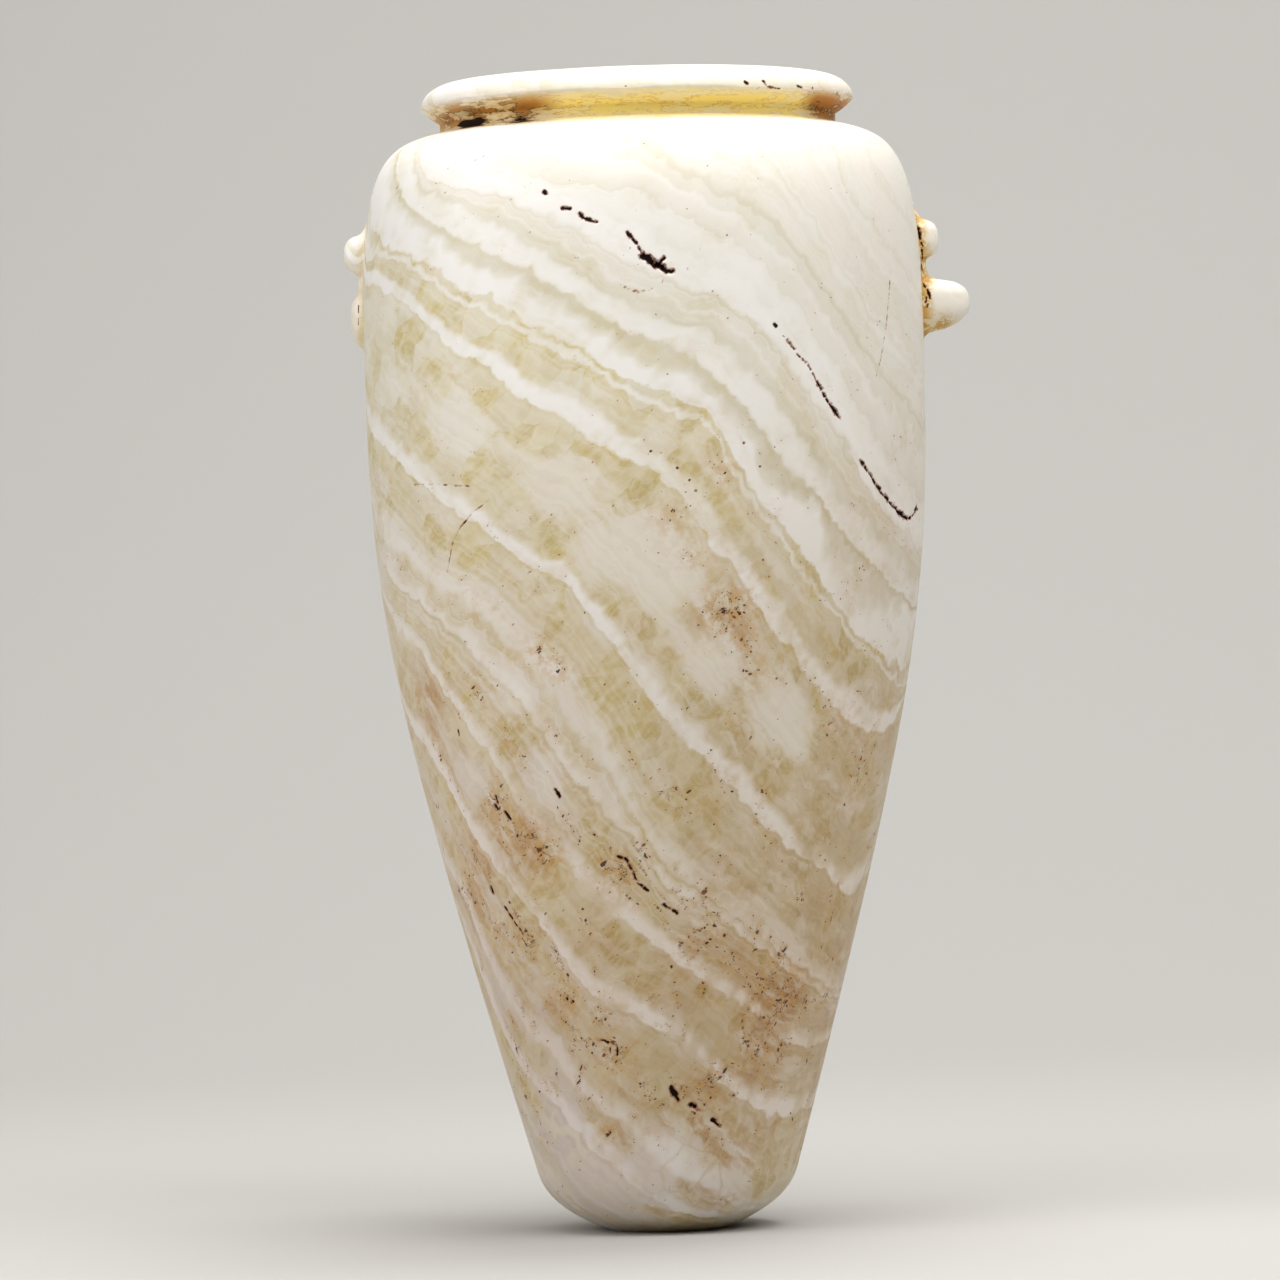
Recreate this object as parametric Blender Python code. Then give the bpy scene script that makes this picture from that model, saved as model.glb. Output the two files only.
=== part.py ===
"""Lug-handled vessel: one carved piece of banded stone, hollow and open at the mouth.

Metres, +Z up. The origin is the centre of the flat underside, the axis of turning is +Z,
and the two lug handles stand on the X axis, the whole one at +X and the broken one at -X.
"""

import math

import bmesh
import bpy
from mathutils import Vector

# Body outline
BODY_HEIGHT = 0.3065
BELLY_RADIUS = 0.0782
SHOULDER_HEIGHT = 0.0559
HEEL_RADIUS = 0.0363
HEEL_HEIGHT = 0.0159
FOOT_RADIUS = 0.0170

# Fullness of the outline's curves: how far each curve's handles pull, as shares of its run and rise
WALL_LOW_PULL = (0.96, 0.60)
WALL_HIGH_PULL = 0.31
SHOULDER_LOW_PULL = 0.963
SHOULDER_HIGH_PULL = 0.616
SHOULDER_SLOPE = math.radians(16.5)
FOOT_LOW_PULL = (0.26, 0.12)
HEEL_PULL = 0.62

# Neck, lip and mouth
NECK_RADIUS = 0.0553
NECK_HEIGHT = 0.0027
NECK_WALL = 0.0093
LIP_OVERHANG = 0.0052
LIP_UNDERCUT_RISE = 0.0040
LIP_UNDERCUT_SAG = 0.0003
LIP_ROUND_HEIGHT = 0.0068
LIP_ROUND_DEPTH = 0.0088
MOUTH_ROUND = 0.0022

# Hollow
WALL_THICKNESS = 0.0085
FLOOR_THICKNESS = 0.0210
FLOOR_ROUND_HEIGHT = 0.0180

# Lug handles, hung from the root of the neck, with reaches out from the wall
UPPER_KNOB_DROP = 0.0331
UPPER_KNOB_REACH = 0.0059
UPPER_KNOB_HALF_HEIGHT = 0.0058
UPPER_KNOB_HALF_WIDTH = 0.0046
KNOB_SPACING = 0.0186
LOWER_KNOB_REACH = 0.0133
LOWER_KNOB_HALF_HEIGHT = 0.0075
LOWER_KNOB_HALF_WIDTH = 0.0062
BROKEN_KNOB_REACH = 0.0036
BROKEN_KNOB_HALF_WIDTH = 0.0056
KNOB_TOP_BLUNTNESS = 3.0
KNOB_UNDER_BLUNTNESS = 2.0
KNOB_PLAN_BLUNTNESS = 2.4
RIDGE_REACH = 0.0016
RIDGE_HALF_WIDTH = 0.0036
RIDGE_END_WIDTH_SHARE = 0.4
RIDGE_RUNOUT_ABOVE = 0.0048
RIDGE_RUNOUT_BELOW = 0.0022
RIDGE_END_SINK = 0.0010
RIDGE_END_SHARPNESS = 6
LUG_ROOT_DEPTH = 0.0040

# Fineness of the facets
TURN_STEPS = 60
WALL_STEPS = 14
SHOULDER_STEPS = 10
FOOT_STEPS = 4
LIP_STEPS = 7
MOUTH_STEPS = 3
FLOOR_STEPS = 5
INNER_STEP_STRIDE = 2
LUG_SLICES_PER_KNOB = 9
LUG_SLICE_POINTS = 14
SHARP_EDGE_ANGLE = math.radians(40.0)

ALABASTER_COLOUR = (0.82, 0.76, 0.65, 1.0)
ALABASTER_ROUGHNESS = 0.35

BELLY_HEIGHT = BODY_HEIGHT - SHOULDER_HEIGHT
NECK_TOP = BODY_HEIGHT + NECK_HEIGHT
BORE_RADIUS = NECK_RADIUS - NECK_WALL
LIP_TIP_HEIGHT = NECK_TOP + LIP_UNDERCUT_RISE
LIP_TIP_RADIUS = NECK_RADIUS + LIP_OVERHANG
LIP_TOP = LIP_TIP_HEIGHT + LIP_ROUND_HEIGHT
UPPER_KNOB_HEIGHT = BODY_HEIGHT - UPPER_KNOB_DROP
LOWER_KNOB_HEIGHT = UPPER_KNOB_HEIGHT - KNOB_SPACING
LUG_TOP = UPPER_KNOB_HEIGHT + UPPER_KNOB_HALF_HEIGHT + RIDGE_RUNOUT_ABOVE
LUG_BOTTOM = LOWER_KNOB_HEIGHT - LOWER_KNOB_HALF_HEIGHT - RIDGE_RUNOUT_BELOW


def bezier(start, handle_a, handle_b, end, steps):
    """Points on a cubic Bezier curve in the (radius, height) plane, the start left out."""
    found = []
    for i in range(1, steps + 1):
        t = i / steps
        s = 1.0 - t
        found.append(
            s ** 3 * start + 3 * s * s * t * handle_a + 3 * s * t * t * handle_b + t ** 3 * end
        )
    return found


def part_way(start, end, run_share, rise_share):
    """The point at a share of the run and a share of the rise from start to end."""
    return Vector((
        start.x + run_share * (end.x - start.x),
        start.y + rise_share * (end.y - start.y),
    ))


def body_outline():
    """Outer outline from the edge of the underside up to the root of the neck."""
    foot = Vector((FOOT_RADIUS, 0.0))
    heel = Vector((HEEL_RADIUS, HEEL_HEIGHT))
    belly = Vector((BELLY_RADIUS, BELLY_HEIGHT))
    neck = Vector((NECK_RADIUS, BODY_HEIGHT))
    wall_low = part_way(heel, belly, *WALL_LOW_PULL)
    wall_high = part_way(belly, heel, 0.0, WALL_HIGH_PULL)
    foot_low = part_way(foot, heel, *FOOT_LOW_PULL)
    heel_low = heel - HEEL_PULL * HEEL_HEIGHT * (wall_low - heel).normalized()
    shoulder_low = part_way(belly, neck, 0.0, SHOULDER_LOW_PULL)
    inward = Vector((math.cos(SHOULDER_SLOPE), -math.sin(SHOULDER_SLOPE)))
    shoulder_high = neck + SHOULDER_HIGH_PULL * (belly.x - neck.x) * inward
    points = [foot]
    points += bezier(foot, foot_low, heel_low, heel, FOOT_STEPS)
    points += bezier(heel, wall_low, wall_high, belly, WALL_STEPS)
    points += bezier(belly, shoulder_low, shoulder_high, neck, SHOULDER_STEPS)
    return points


def lip_outline():
    """Neck, overhanging lip and rounded edge of the mouth, from the shoulder to the bore."""
    neck = Vector((NECK_RADIUS, NECK_TOP))
    tip = Vector((LIP_TIP_RADIUS, LIP_TIP_HEIGHT))
    points = [neck, neck.lerp(tip, 0.5) - Vector((0.0, LIP_UNDERCUT_SAG))]
    crown = tip.x - LIP_ROUND_DEPTH
    for i in range(LIP_STEPS + 1):
        angle = math.radians(90.0) * i / LIP_STEPS
        points.append(
            Vector((
                crown + LIP_ROUND_DEPTH * math.cos(angle),
                tip.y + LIP_ROUND_HEIGHT * math.sin(angle),
            ))
        )
    for i in range(MOUTH_STEPS + 1):
        angle = math.radians(90.0) * i / MOUTH_STEPS
        points.append(
            Vector((
                BORE_RADIUS + MOUTH_ROUND * (1.0 - math.sin(angle)),
                LIP_TOP - MOUTH_ROUND * (1.0 - math.cos(angle)),
            ))
        )
    return points


def radius_at(height, outline):
    """Radius of an outline that only rises, at a height."""
    for low, high in zip(outline, outline[1:]):
        if low.y <= height <= high.y:
            share = (height - low.y) / (high.y - low.y)
            return low.x + share * (high.x - low.x)
    return outline[-1].x


def inset(outline):
    """The outline moved square to itself into the stone by the wall's thickness."""
    moved = []
    for before, point, after in zip(outline, outline[1:], outline[2:]):
        along = (after - before).normalized()
        moved.append(point + WALL_THICKNESS * Vector((-along.y, along.x)))
    return moved


def hollow_outline(outline):
    """Inside of the vessel, from under the bore down to the edge of the floor's centre."""
    knee = FLOOR_THICKNESS + FLOOR_ROUND_HEIGHT
    inner = inset(outline)
    kept = [p for p in inner[::INNER_STEP_STRIDE] if p.y > knee and p.x > BORE_RADIUS + MOUTH_ROUND]
    ceiling = Vector((BORE_RADIUS, BODY_HEIGHT - WALL_THICKNESS))
    points = [ceiling] + list(reversed(kept))
    knee_radius = radius_at(knee, inner)
    for i in range(FLOOR_STEPS):
        angle = math.radians(90.0) * i / FLOOR_STEPS
        points.append(
            Vector((knee_radius * math.cos(angle), knee - FLOOR_ROUND_HEIGHT * math.sin(angle)))
        )
    return points


def turned_body(outline):
    """The hollow body: one outline from the underside round the lip to the floor, spun about Z."""
    profile = [Vector((0.0, 0.0))] + outline + lip_outline() + hollow_outline(outline)
    profile.append(Vector((0.0, FLOOR_THICKNESS)))
    bm = bmesh.new()
    verts = [bm.verts.new((p.x, 0.0, p.y)) for p in profile]
    edges = [bm.edges.new(pair) for pair in zip(verts, verts[1:])]
    bmesh.ops.spin(
        bm,
        geom=verts + edges,
        cent=(0, 0, 0),
        axis=(0, 0, 1),
        angle=math.tau,
        steps=TURN_STEPS,
        use_merge=True,
        use_duplicate=False,
    )
    bmesh.ops.remove_doubles(bm, verts=bm.verts, dist=1e-6)
    bmesh.ops.recalc_face_normals(bm, faces=bm.faces)
    return bm


def fullness(height, centre, half_height):
    """How full a knob is at a height: 1 at its centre, 0 past its ends, and blunter on top."""
    share = abs(height - centre) / half_height
    blunt = KNOB_TOP_BLUNTNESS if height > centre else KNOB_UNDER_BLUNTNESS
    return 0.0 if share >= 1.0 else (1.0 - share ** blunt) ** (1.0 / blunt)


def lug_slices(lower_reach, lower_half_width):
    """(height, reach, half width) of each level slice of one lug, from bottom to top."""
    middle = 0.5 * (LUG_TOP + LUG_BOTTOM)
    half = 0.5 * (LUG_TOP - LUG_BOTTOM)
    knobs = (
        (UPPER_KNOB_HEIGHT, UPPER_KNOB_HALF_HEIGHT, UPPER_KNOB_REACH, UPPER_KNOB_HALF_WIDTH),
        (LOWER_KNOB_HEIGHT, LOWER_KNOB_HALF_HEIGHT, lower_reach, lower_half_width),
    )
    heights = {LUG_BOTTOM, LUG_TOP, middle}
    for centre, half_height, _, _ in knobs:
        for i in range(LUG_SLICES_PER_KNOB):
            angle = math.radians(180.0) * i / (LUG_SLICES_PER_KNOB - 1) - math.radians(90.0)
            heights.add(centre + half_height * math.sin(angle))
    slices = []
    for height in sorted(heights):
        ending = abs((height - middle) / half) ** RIDGE_END_SHARPNESS
        reach = RIDGE_REACH - (RIDGE_REACH + RIDGE_END_SINK) * ending
        width = RIDGE_HALF_WIDTH * (1.0 - (1.0 - RIDGE_END_WIDTH_SHARE) * ending)
        for centre, half_height, knob_reach, knob_width in knobs:
            full = fullness(height, centre, half_height)
            if full > 0.0:
                reach = max(reach, knob_reach * full)
                width = max(width, knob_width * full)
        slices.append((height, reach, width))
    return slices


def lug(side, lower_reach, lower_half_width, outline):
    """One lug as a closed solid rooted in the wall: a low upright ridge that carries two knobs."""
    bm = bmesh.new()
    rings = []
    for height, reach, half_width in lug_slices(lower_reach, lower_half_width):
        wall = radius_at(height, outline)
        root = wall - LUG_ROOT_DEPTH
        length = wall + reach - root
        ring = [bm.verts.new((side * root, side * half_width, height))]
        for i in range(LUG_SLICE_POINTS):
            angle = math.radians(90.0) - math.radians(180.0) * (i + 0.5) / LUG_SLICE_POINTS
            along = math.cos(angle) ** (2.0 / KNOB_PLAN_BLUNTNESS)
            across = math.copysign(abs(math.sin(angle)) ** (2.0 / KNOB_PLAN_BLUNTNESS), angle)
            ring.append(
                bm.verts.new((side * (root + length * along), side * half_width * across, height))
            )
        ring.append(bm.verts.new((side * root, -side * half_width, height)))
        rings.append([bm.edges.new(pair) for pair in zip(ring, ring[1:] + ring[:1])])
    for low, high in zip(rings, rings[1:]):
        bmesh.ops.bridge_loops(bm, edges=low + high)
    bmesh.ops.holes_fill(bm, edges=rings[0] + rings[-1], sides=0)
    bmesh.ops.triangulate(bm, faces=bm.faces)
    bmesh.ops.recalc_face_normals(bm, faces=bm.faces)
    return bm


def add_object(name, bm, material):
    """Turns a bmesh into a named object in the scene."""
    mesh = bpy.data.meshes.new(name)
    bm.to_mesh(mesh)
    bm.free()
    mesh.materials.append(material)
    made = bpy.data.objects.new(name, mesh)
    bpy.context.scene.collection.objects.link(made)
    return made


def join_to(target, tool):
    """Adds the tool's solid to the target's with a Boolean union, and hides the tool."""
    union = target.modifiers.new(tool.name, "BOOLEAN")
    union.operation = "UNION"
    union.solver = "EXACT"
    union.object = tool
    tool.hide_render = True
    tool.display_type = "WIRE"


def alabaster():
    """Pale banded stone with a soft polish."""
    material = bpy.data.materials.new("alabaster")
    material.use_nodes = True
    shader = material.node_tree.nodes["Principled BSDF"]
    shader.inputs["Base Color"].default_value = ALABASTER_COLOUR
    shader.inputs["Roughness"].default_value = ALABASTER_ROUGHNESS
    shader.inputs["Metallic"].default_value = 0.0
    return material


def main():
    for old in list(bpy.data.objects):
        bpy.data.objects.remove(old)
    stone = alabaster()
    outline = body_outline()
    vessel = add_object("vessel", turned_body(outline), stone)
    whole = lug(1.0, LOWER_KNOB_REACH, LOWER_KNOB_HALF_WIDTH, outline)
    broken = lug(-1.0, BROKEN_KNOB_REACH, BROKEN_KNOB_HALF_WIDTH, outline)
    join_to(vessel, add_object("whole_lug_tool", whole, stone))
    join_to(vessel, add_object("broken_lug_tool", broken, stone))
    vessel.data.shade_smooth()
    vessel.data.set_sharp_from_angle(angle=SHARP_EDGE_ANGLE)


main()
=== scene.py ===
# %% [markdown]
# # A banded stone jar with lug handles
#
# The jar is carved from one block of banded calcite, so everything that shows is one piece. The packed
# model already has its true size and shape. This script loads it as a fixed frame, then builds one finer
# piece of the same form, carves the pits and cracks into it, and paints the bands with a node material.

import math

import bmesh
import bpy
import numpy as np
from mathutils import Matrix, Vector, kdtree, noise
from mathutils.bvhtree import BVHTree


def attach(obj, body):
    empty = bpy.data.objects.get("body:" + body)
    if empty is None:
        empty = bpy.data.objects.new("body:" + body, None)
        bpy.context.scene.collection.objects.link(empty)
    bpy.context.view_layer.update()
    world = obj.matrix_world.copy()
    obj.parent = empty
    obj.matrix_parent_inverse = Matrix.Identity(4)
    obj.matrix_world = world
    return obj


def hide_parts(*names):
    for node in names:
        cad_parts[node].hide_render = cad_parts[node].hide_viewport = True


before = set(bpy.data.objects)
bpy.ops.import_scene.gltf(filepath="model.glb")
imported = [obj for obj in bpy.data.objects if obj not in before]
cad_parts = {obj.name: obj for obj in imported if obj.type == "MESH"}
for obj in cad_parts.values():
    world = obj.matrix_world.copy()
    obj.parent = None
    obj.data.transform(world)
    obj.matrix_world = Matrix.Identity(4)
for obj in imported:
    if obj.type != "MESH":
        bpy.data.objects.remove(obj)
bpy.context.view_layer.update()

# %% [markdown]
# ## The outline
#
# A jar like this is ground round by turning, so one outline gives its whole body. Three curves make it: a
# small rounded foot, a long wall that swells upward, and a shoulder that rolls over to the neck. The same
# named sizes drive the frame's solid. Only the number of points differs, because a fine piece needs more.

# %% Body outline from foot to neck
BODY_HEIGHT = 0.3065
BELLY_RADIUS = 0.0782
SHOULDER_HEIGHT = 0.0559
HEEL_RADIUS = 0.0363
HEEL_HEIGHT = 0.0159
FOOT_RADIUS = 0.0170
WALL_LOW_PULL = (0.96, 0.60)
WALL_HIGH_PULL = 0.31
SHOULDER_LOW_PULL = 0.963
SHOULDER_HIGH_PULL = 0.616
SHOULDER_SLOPE = math.radians(16.5)
FOOT_LOW_PULL = (0.26, 0.12)
HEEL_PULL = 0.62
NECK_RADIUS = 0.0553


def curve(start, pull_a, pull_b, end, steps):
    """Points on a cubic curve in the (radius, height) plane, the start left out."""
    points = []
    for i in range(1, steps + 1):
        t = i / steps
        s = 1.0 - t
        points.append(s ** 3 * start + 3 * s * s * t * pull_a + 3 * s * t * t * pull_b + t ** 3 * end)
    return points


def part_way(start, end, run_share, rise_share):
    """The point at a share of the run and a share of the rise from start to end."""
    run, rise = end - start
    return Vector((start.x + run_share * run, start.y + rise_share * rise))


def body_outline(foot_steps, wall_steps, shoulder_steps):
    """Outer outline from the edge of the underside up to the root of the neck."""
    foot = Vector((FOOT_RADIUS, 0.0))
    heel = Vector((HEEL_RADIUS, HEEL_HEIGHT))
    belly = Vector((BELLY_RADIUS, BODY_HEIGHT - SHOULDER_HEIGHT))
    neck = Vector((NECK_RADIUS, BODY_HEIGHT))
    wall_low = part_way(heel, belly, *WALL_LOW_PULL)
    heel_low = heel - HEEL_PULL * HEEL_HEIGHT * (wall_low - heel).normalized()
    inward = Vector((math.cos(SHOULDER_SLOPE), -math.sin(SHOULDER_SLOPE)))
    shoulder_high = neck + SHOULDER_HIGH_PULL * (belly.x - neck.x) * inward
    shoulder_low = part_way(belly, neck, 0.0, SHOULDER_LOW_PULL)
    points = [foot] + curve(foot, part_way(foot, heel, *FOOT_LOW_PULL), heel_low, heel, foot_steps)
    points += curve(heel, wall_low, part_way(belly, heel, 0.0, WALL_HIGH_PULL), belly, wall_steps)
    points += curve(belly, shoulder_low, shoulder_high, neck, shoulder_steps)
    return points


outline = body_outline(foot_steps=12, wall_steps=88, shoulder_steps=34)
outline_heights = [p.y for p in outline]
outline_radii = [p.x for p in outline]


def wall_radius(height):
    """Radius of the outer wall at a height, in metres."""
    return np.interp(height, outline_heights, outline_radii)


print("outline points:", len(outline))

# %% [markdown]
# ## The lip, the mouth and the hollow
#
# The neck is short and undercut, and the lip over it is a round moulding. Inside, the wall keeps one
# thickness, so its outline is the outer one moved square to itself. Going down the outside and up the
# inside in one line means that a single spin closes the whole vessel, with no seam to hide.

# %% Lip and hollow outlines
NECK_HEIGHT = 0.0027
NECK_WALL = 0.0093
LIP_OVERHANG = 0.0052
LIP_UNDERCUT_RISE = 0.0040
LIP_UNDERCUT_SAG = 0.0003
LIP_ROUND_HEIGHT = 0.0068
LIP_ROUND_DEPTH = 0.0088
MOUTH_ROUND = 0.0022
WALL_THICKNESS = 0.0085
FLOOR_THICKNESS = 0.0210
FLOOR_ROUND_HEIGHT = 0.0180
NECK_TOP = BODY_HEIGHT + NECK_HEIGHT
BORE_RADIUS = NECK_RADIUS - NECK_WALL
LIP_TIP = Vector((NECK_RADIUS + LIP_OVERHANG, NECK_TOP + LIP_UNDERCUT_RISE))
LIP_TOP = LIP_TIP.y + LIP_ROUND_HEIGHT
QUARTER = math.radians(90.0)


def lip_outline(neck_steps, undercut_steps, round_steps, top_steps, mouth_steps):
    """Neck, undercut, round lip and rounded mouth, from the shoulder to the bore."""
    root = Vector((NECK_RADIUS, BODY_HEIGHT))
    neck = Vector((NECK_RADIUS, NECK_TOP))
    points = [root.lerp(neck, i / neck_steps) for i in range(1, neck_steps)]
    for i in range(undercut_steps):
        share = i / undercut_steps
        sag = LIP_UNDERCUT_SAG * 4.0 * share * (1.0 - share)
        points.append(neck.lerp(LIP_TIP, share) - Vector((0.0, sag)))
    crown = LIP_TIP.x - LIP_ROUND_DEPTH
    for i in range(round_steps + 1):
        angle = QUARTER * i / round_steps
        points.append(Vector((
            crown + LIP_ROUND_DEPTH * math.cos(angle),
            LIP_TIP.y + LIP_ROUND_HEIGHT * math.sin(angle),
        )))
    edge = Vector((BORE_RADIUS + MOUTH_ROUND, LIP_TOP))
    points += [points[-1].lerp(edge, i / top_steps) for i in range(1, top_steps)]
    for i in range(mouth_steps + 1):
        angle = QUARTER * i / mouth_steps
        points.append(Vector((
            BORE_RADIUS + MOUTH_ROUND * (1.0 - math.sin(angle)),
            LIP_TOP - MOUTH_ROUND * (1.0 - math.cos(angle)),
        )))
    return points


def hollow_outline(outer, bore_steps, floor_steps):
    """Inside of the vessel, from the mouth down the bore and the wall to the floor."""
    moved = []
    for before, point, after in zip(outer, outer[1:], outer[2:]):
        along = (after - before).normalized()
        moved.append(point + WALL_THICKNESS * Vector((-along.y, along.x)))
    knee = FLOOR_THICKNESS + FLOOR_ROUND_HEIGHT
    bore_top = Vector((BORE_RADIUS, LIP_TOP - MOUTH_ROUND))
    ceiling = Vector((BORE_RADIUS, BODY_HEIGHT - WALL_THICKNESS))
    points = [bore_top.lerp(ceiling, i / bore_steps) for i in range(1, bore_steps + 1)]
    points += [p for p in reversed(moved) if p.y > knee and p.x > BORE_RADIUS + MOUTH_ROUND]
    knee_radius = float(np.interp(knee, [p.y for p in moved], [p.x for p in moved]))
    for i in range(floor_steps):
        angle = QUARTER * i / floor_steps
        points.append(Vector((
            knee_radius * math.cos(angle), knee - FLOOR_ROUND_HEIGHT * math.sin(angle),
        )))
    return points


inner_guide = body_outline(foot_steps=8, wall_steps=44, shoulder_steps=18)
lip = lip_outline(neck_steps=5, undercut_steps=8, round_steps=16, top_steps=4, mouth_steps=6)
hollow = hollow_outline(inner_guide, bore_steps=6, floor_steps=12)
print("lip points:", len(lip), "hollow points:", len(hollow))

# %% [markdown]
# ## Spinning the body
#
# `bmesh.ops.spin` drags a row of edges round an axis and leaves faces behind. With `use_merge` the last
# column is joined to the first one. The points on the axis would be doubled at every step, so they are
# merged next, and the normals are recalculated after that, so that every face looks outward.

# %% Spin the outline
COLUMNS = 176
POLE_RINGS = 3
MERGE_DISTANCE = 1e-6


def along_floor(radius, height, rings):
    """Points from the axis out to just short of a radius, on the level."""
    return [Vector((radius * i / rings, height)) for i in range(rings)]


def spun(profile):
    """A closed body of revolution about Z from a line that starts and ends on the axis."""
    bm = bmesh.new()
    verts = [bm.verts.new((p.x, 0.0, p.y)) for p in profile]
    edges = [bm.edges.new(pair) for pair in zip(verts, verts[1:])]
    bmesh.ops.spin(
        bm, geom=verts + edges, cent=(0, 0, 0), axis=(0, 0, 1), angle=math.tau,
        steps=COLUMNS, use_merge=True, use_duplicate=False,
    )
    bmesh.ops.remove_doubles(bm, verts=bm.verts, dist=MERGE_DISTANCE)
    bmesh.ops.recalc_face_normals(bm, faces=bm.faces)
    return bm


underside = along_floor(FOOT_RADIUS, 0.0, POLE_RINGS)
floor_line = list(reversed(along_floor(hollow[-1].x, FLOOR_THICKNESS, POLE_RINGS)))
body = spun(underside + outline + lip + hollow + floor_line)
print("faces after the spin:", len(body.faces))

# %% [markdown]
# ## Marks on the stone, placed one by one
#
# Pits, cracks and pores are part of this jar's character, and each one has its own place. A mark is a short
# line of points, given as millimetres across and up, as seen from the front, with a half width and a depth.
# Four kinds share these rules and differ in how dark they are: a deep pit is dark all over, a pore line is
# cut into dashes, a hairline only just shows, and a chip isn't dark at all.

# %% The placed marks
MM = 0.001
PITS = (
    (((0.3, 266.9), (2.2, 265.2), (4.4, 264.2)), 0.75, 1.0),
    (((3.2, 264.6), (5.6, 263.6)), 0.85, 1.3),
    (((4.4, 264.4), (6.0, 266.0)), 0.45, 0.6),
    (((5.4, 263.4), (6.4, 262.5), (7.8, 262.3)), 0.55, 0.7),
    (((1.5, 41.6), (2.4, 39.7), (3.3, 37.9)), 0.55, 0.9),
    (((6.9, 36.6), (7.7, 35.9)), 0.60, 0.9),
    (((12.6, 32.2), (14.4, 30.1)), 0.50, 0.9),
    (((68.6, 196.8), (70.9, 195.2)), 0.55, 0.5),
    (((-41.7, 118.1), (-40.2, 116.2)), 0.40, 0.4),
    (((-27.8, 124.2), (-26.6, 122.3)), 0.42, 0.5),
    (((-46.6, 97.6), (-45.9, 95.8)), 0.45, 0.5),
)
PORE_LINES = (
    (((-26.2, 285.0), (-25.2, 284.2)), 0.34, 0.4),
    (((-21.1, 280.5), (-18.3, 279.8)), 0.38, 0.4),
    (((-16.6, 278.6), (-15.2, 277.1), (-13.3, 276.7), (-10.7, 276.2)), 0.34, 0.4),
    (((-3.7, 273.2), (-2.4, 271.3), (-1.0, 269.6), (0.3, 266.8)), 0.30, 0.4),
    (((35.1, 248.1), (36.0, 247.0)), 0.40, 0.5),
    (((38.6, 243.4), (40.8, 240.6)), 0.42, 0.5),
    (((41.0, 240.0), (43.9, 237.0), (47.6, 230.2)), 0.26, 0.3),
    (((46.9, 231.6), (48.8, 227.7), (50.7, 224.9), (52.6, 222.1)), 0.46, 0.5),
    (((57.8, 211.2), (60.2, 207.4), (62.2, 204.1), (64.6, 201.0)), 0.36, 0.4),
    (((64.6, 201.0), (66.9, 198.4), (68.9, 196.5), (71.6, 195.2), (74.8, 198.6)), 0.42, 0.5),
    (((-53.9, 140.9), (-53.7, 138.3)), 0.40, 0.4),
    (((-45.6, 123.2), (-44.6, 120.6), (-43.2, 118.3)), 0.34, 0.3),
    (((-44.2, 122.8), (-43.4, 119.8)), 0.32, 0.3),
    (((-42.8, 92.1), (-40.3, 88.1), (-37.6, 84.1)), 0.30, 0.3),
    (((-34.0, 108.4), (-29.4, 105.7)), 0.26, 0.3),
    (((-11.4, 105.8), (-9.3, 105.1), (-7.3, 101.3), (-6.2, 98.2), (-2.6, 95.5)), 0.32, 0.3),
    (((0.8, 92.1), (3.1, 90.4), (4.7, 89.4)), 0.36, 0.3),
    (((-17.4, 55.2), (-14.4, 54.0), (-12.6, 53.7)), 0.34, 0.4),
    (((-14.9, 53.2), (-15.0, 50.2)), 0.26, 0.2),
    (((-13.0, 53.2), (-13.0, 50.0)), 0.24, 0.2),
    (((8.2, 35.4), (10.2, 35.2)), 0.38, 0.5),
    (((29.4, 314.4), (30.4, 313.8)), 0.30, 0.3),
    (((34.4, 315.0), (35.6, 313.2), (39.6, 312.6)), 0.28, 0.3),
    (((44.0, 313.8), (45.4, 313.2)), 0.30, 0.3),
    (((55.2, 312.6), (57.4, 311.6)), 0.42, 0.4),
)
PORES = (
    (12.2, 262.8), (5.3, 259.7), (18.8, 256.7), (23.1, 271.8), (25.8, 215.9), (30.1, 209.6), (7.8, 209.8),
    (11.1, 206.4), (12.6, 203.5), (0.9, 214.3), (3.6, 213.9), (-29.6, 129.0), (-30.4, 78.6), (-25.7, 68.6),
    (-24.7, 65.9), (-26.2, 66.7), (7.4, 83.0), (0.4, 75.3), (2.5, 75.0), (-17.2, 62.8), (-21.2, 91.2),
    (-17.5, 111.5), (-35.6, 84.2), (-41.7, 59.7), (-41.2, 139.0), (-46.9, 149.6), (-15.6, 29.4),
    (-3.1, 313.6), (32.8, 312.8), (48.2, 313.6), (51.2, 313.2),
)
PORE_SIZE = (0.27, 0.25)
HAIRLINES = (
    (((-6.1, 259.0), (-4.4, 258.2), (-1.1, 257.0), (2.5, 257.8)), 0.22, 0.1),
    (((68.0, 262.5), (66.3, 247.6), (64.6, 239.1), (63.0, 233.8)), 0.20, 0.15),
    (((-63.9, 208.1), (-56.0, 207.6), (-48.7, 206.8)), 0.20, 0.15),
    (((-43.4, 202.5), (-47.6, 199.7), (-51.3, 195.8), (-53.4, 192.3), (-55.4, 183.7)), 0.20, 0.15),
)
CHIPS = (
    (((9.0, 3.4), (12.5, 3.2)), 1.3, 0.7), (((21.0, 6.0), (23.5, 6.6)), 1.1, 0.5),
    (((-24.0, 6.5), (-26.5, 7.8)), 1.2, 0.5),
)
DARKNESS = {"pit": 1.05, "pore": 0.92, "hairline": 0.42, "chip": 0.0}


def front_radius(height):
    """Radius of the jar's outside at a height, lip included, in metres."""
    if height < BODY_HEIGHT:
        return float(wall_radius(height))
    share = min(max((height - LIP_TIP.y) / LIP_ROUND_HEIGHT, 0.0), 1.0)
    return LIP_TIP.x - LIP_ROUND_DEPTH * (1.0 - math.sqrt(1.0 - share * share))


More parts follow.
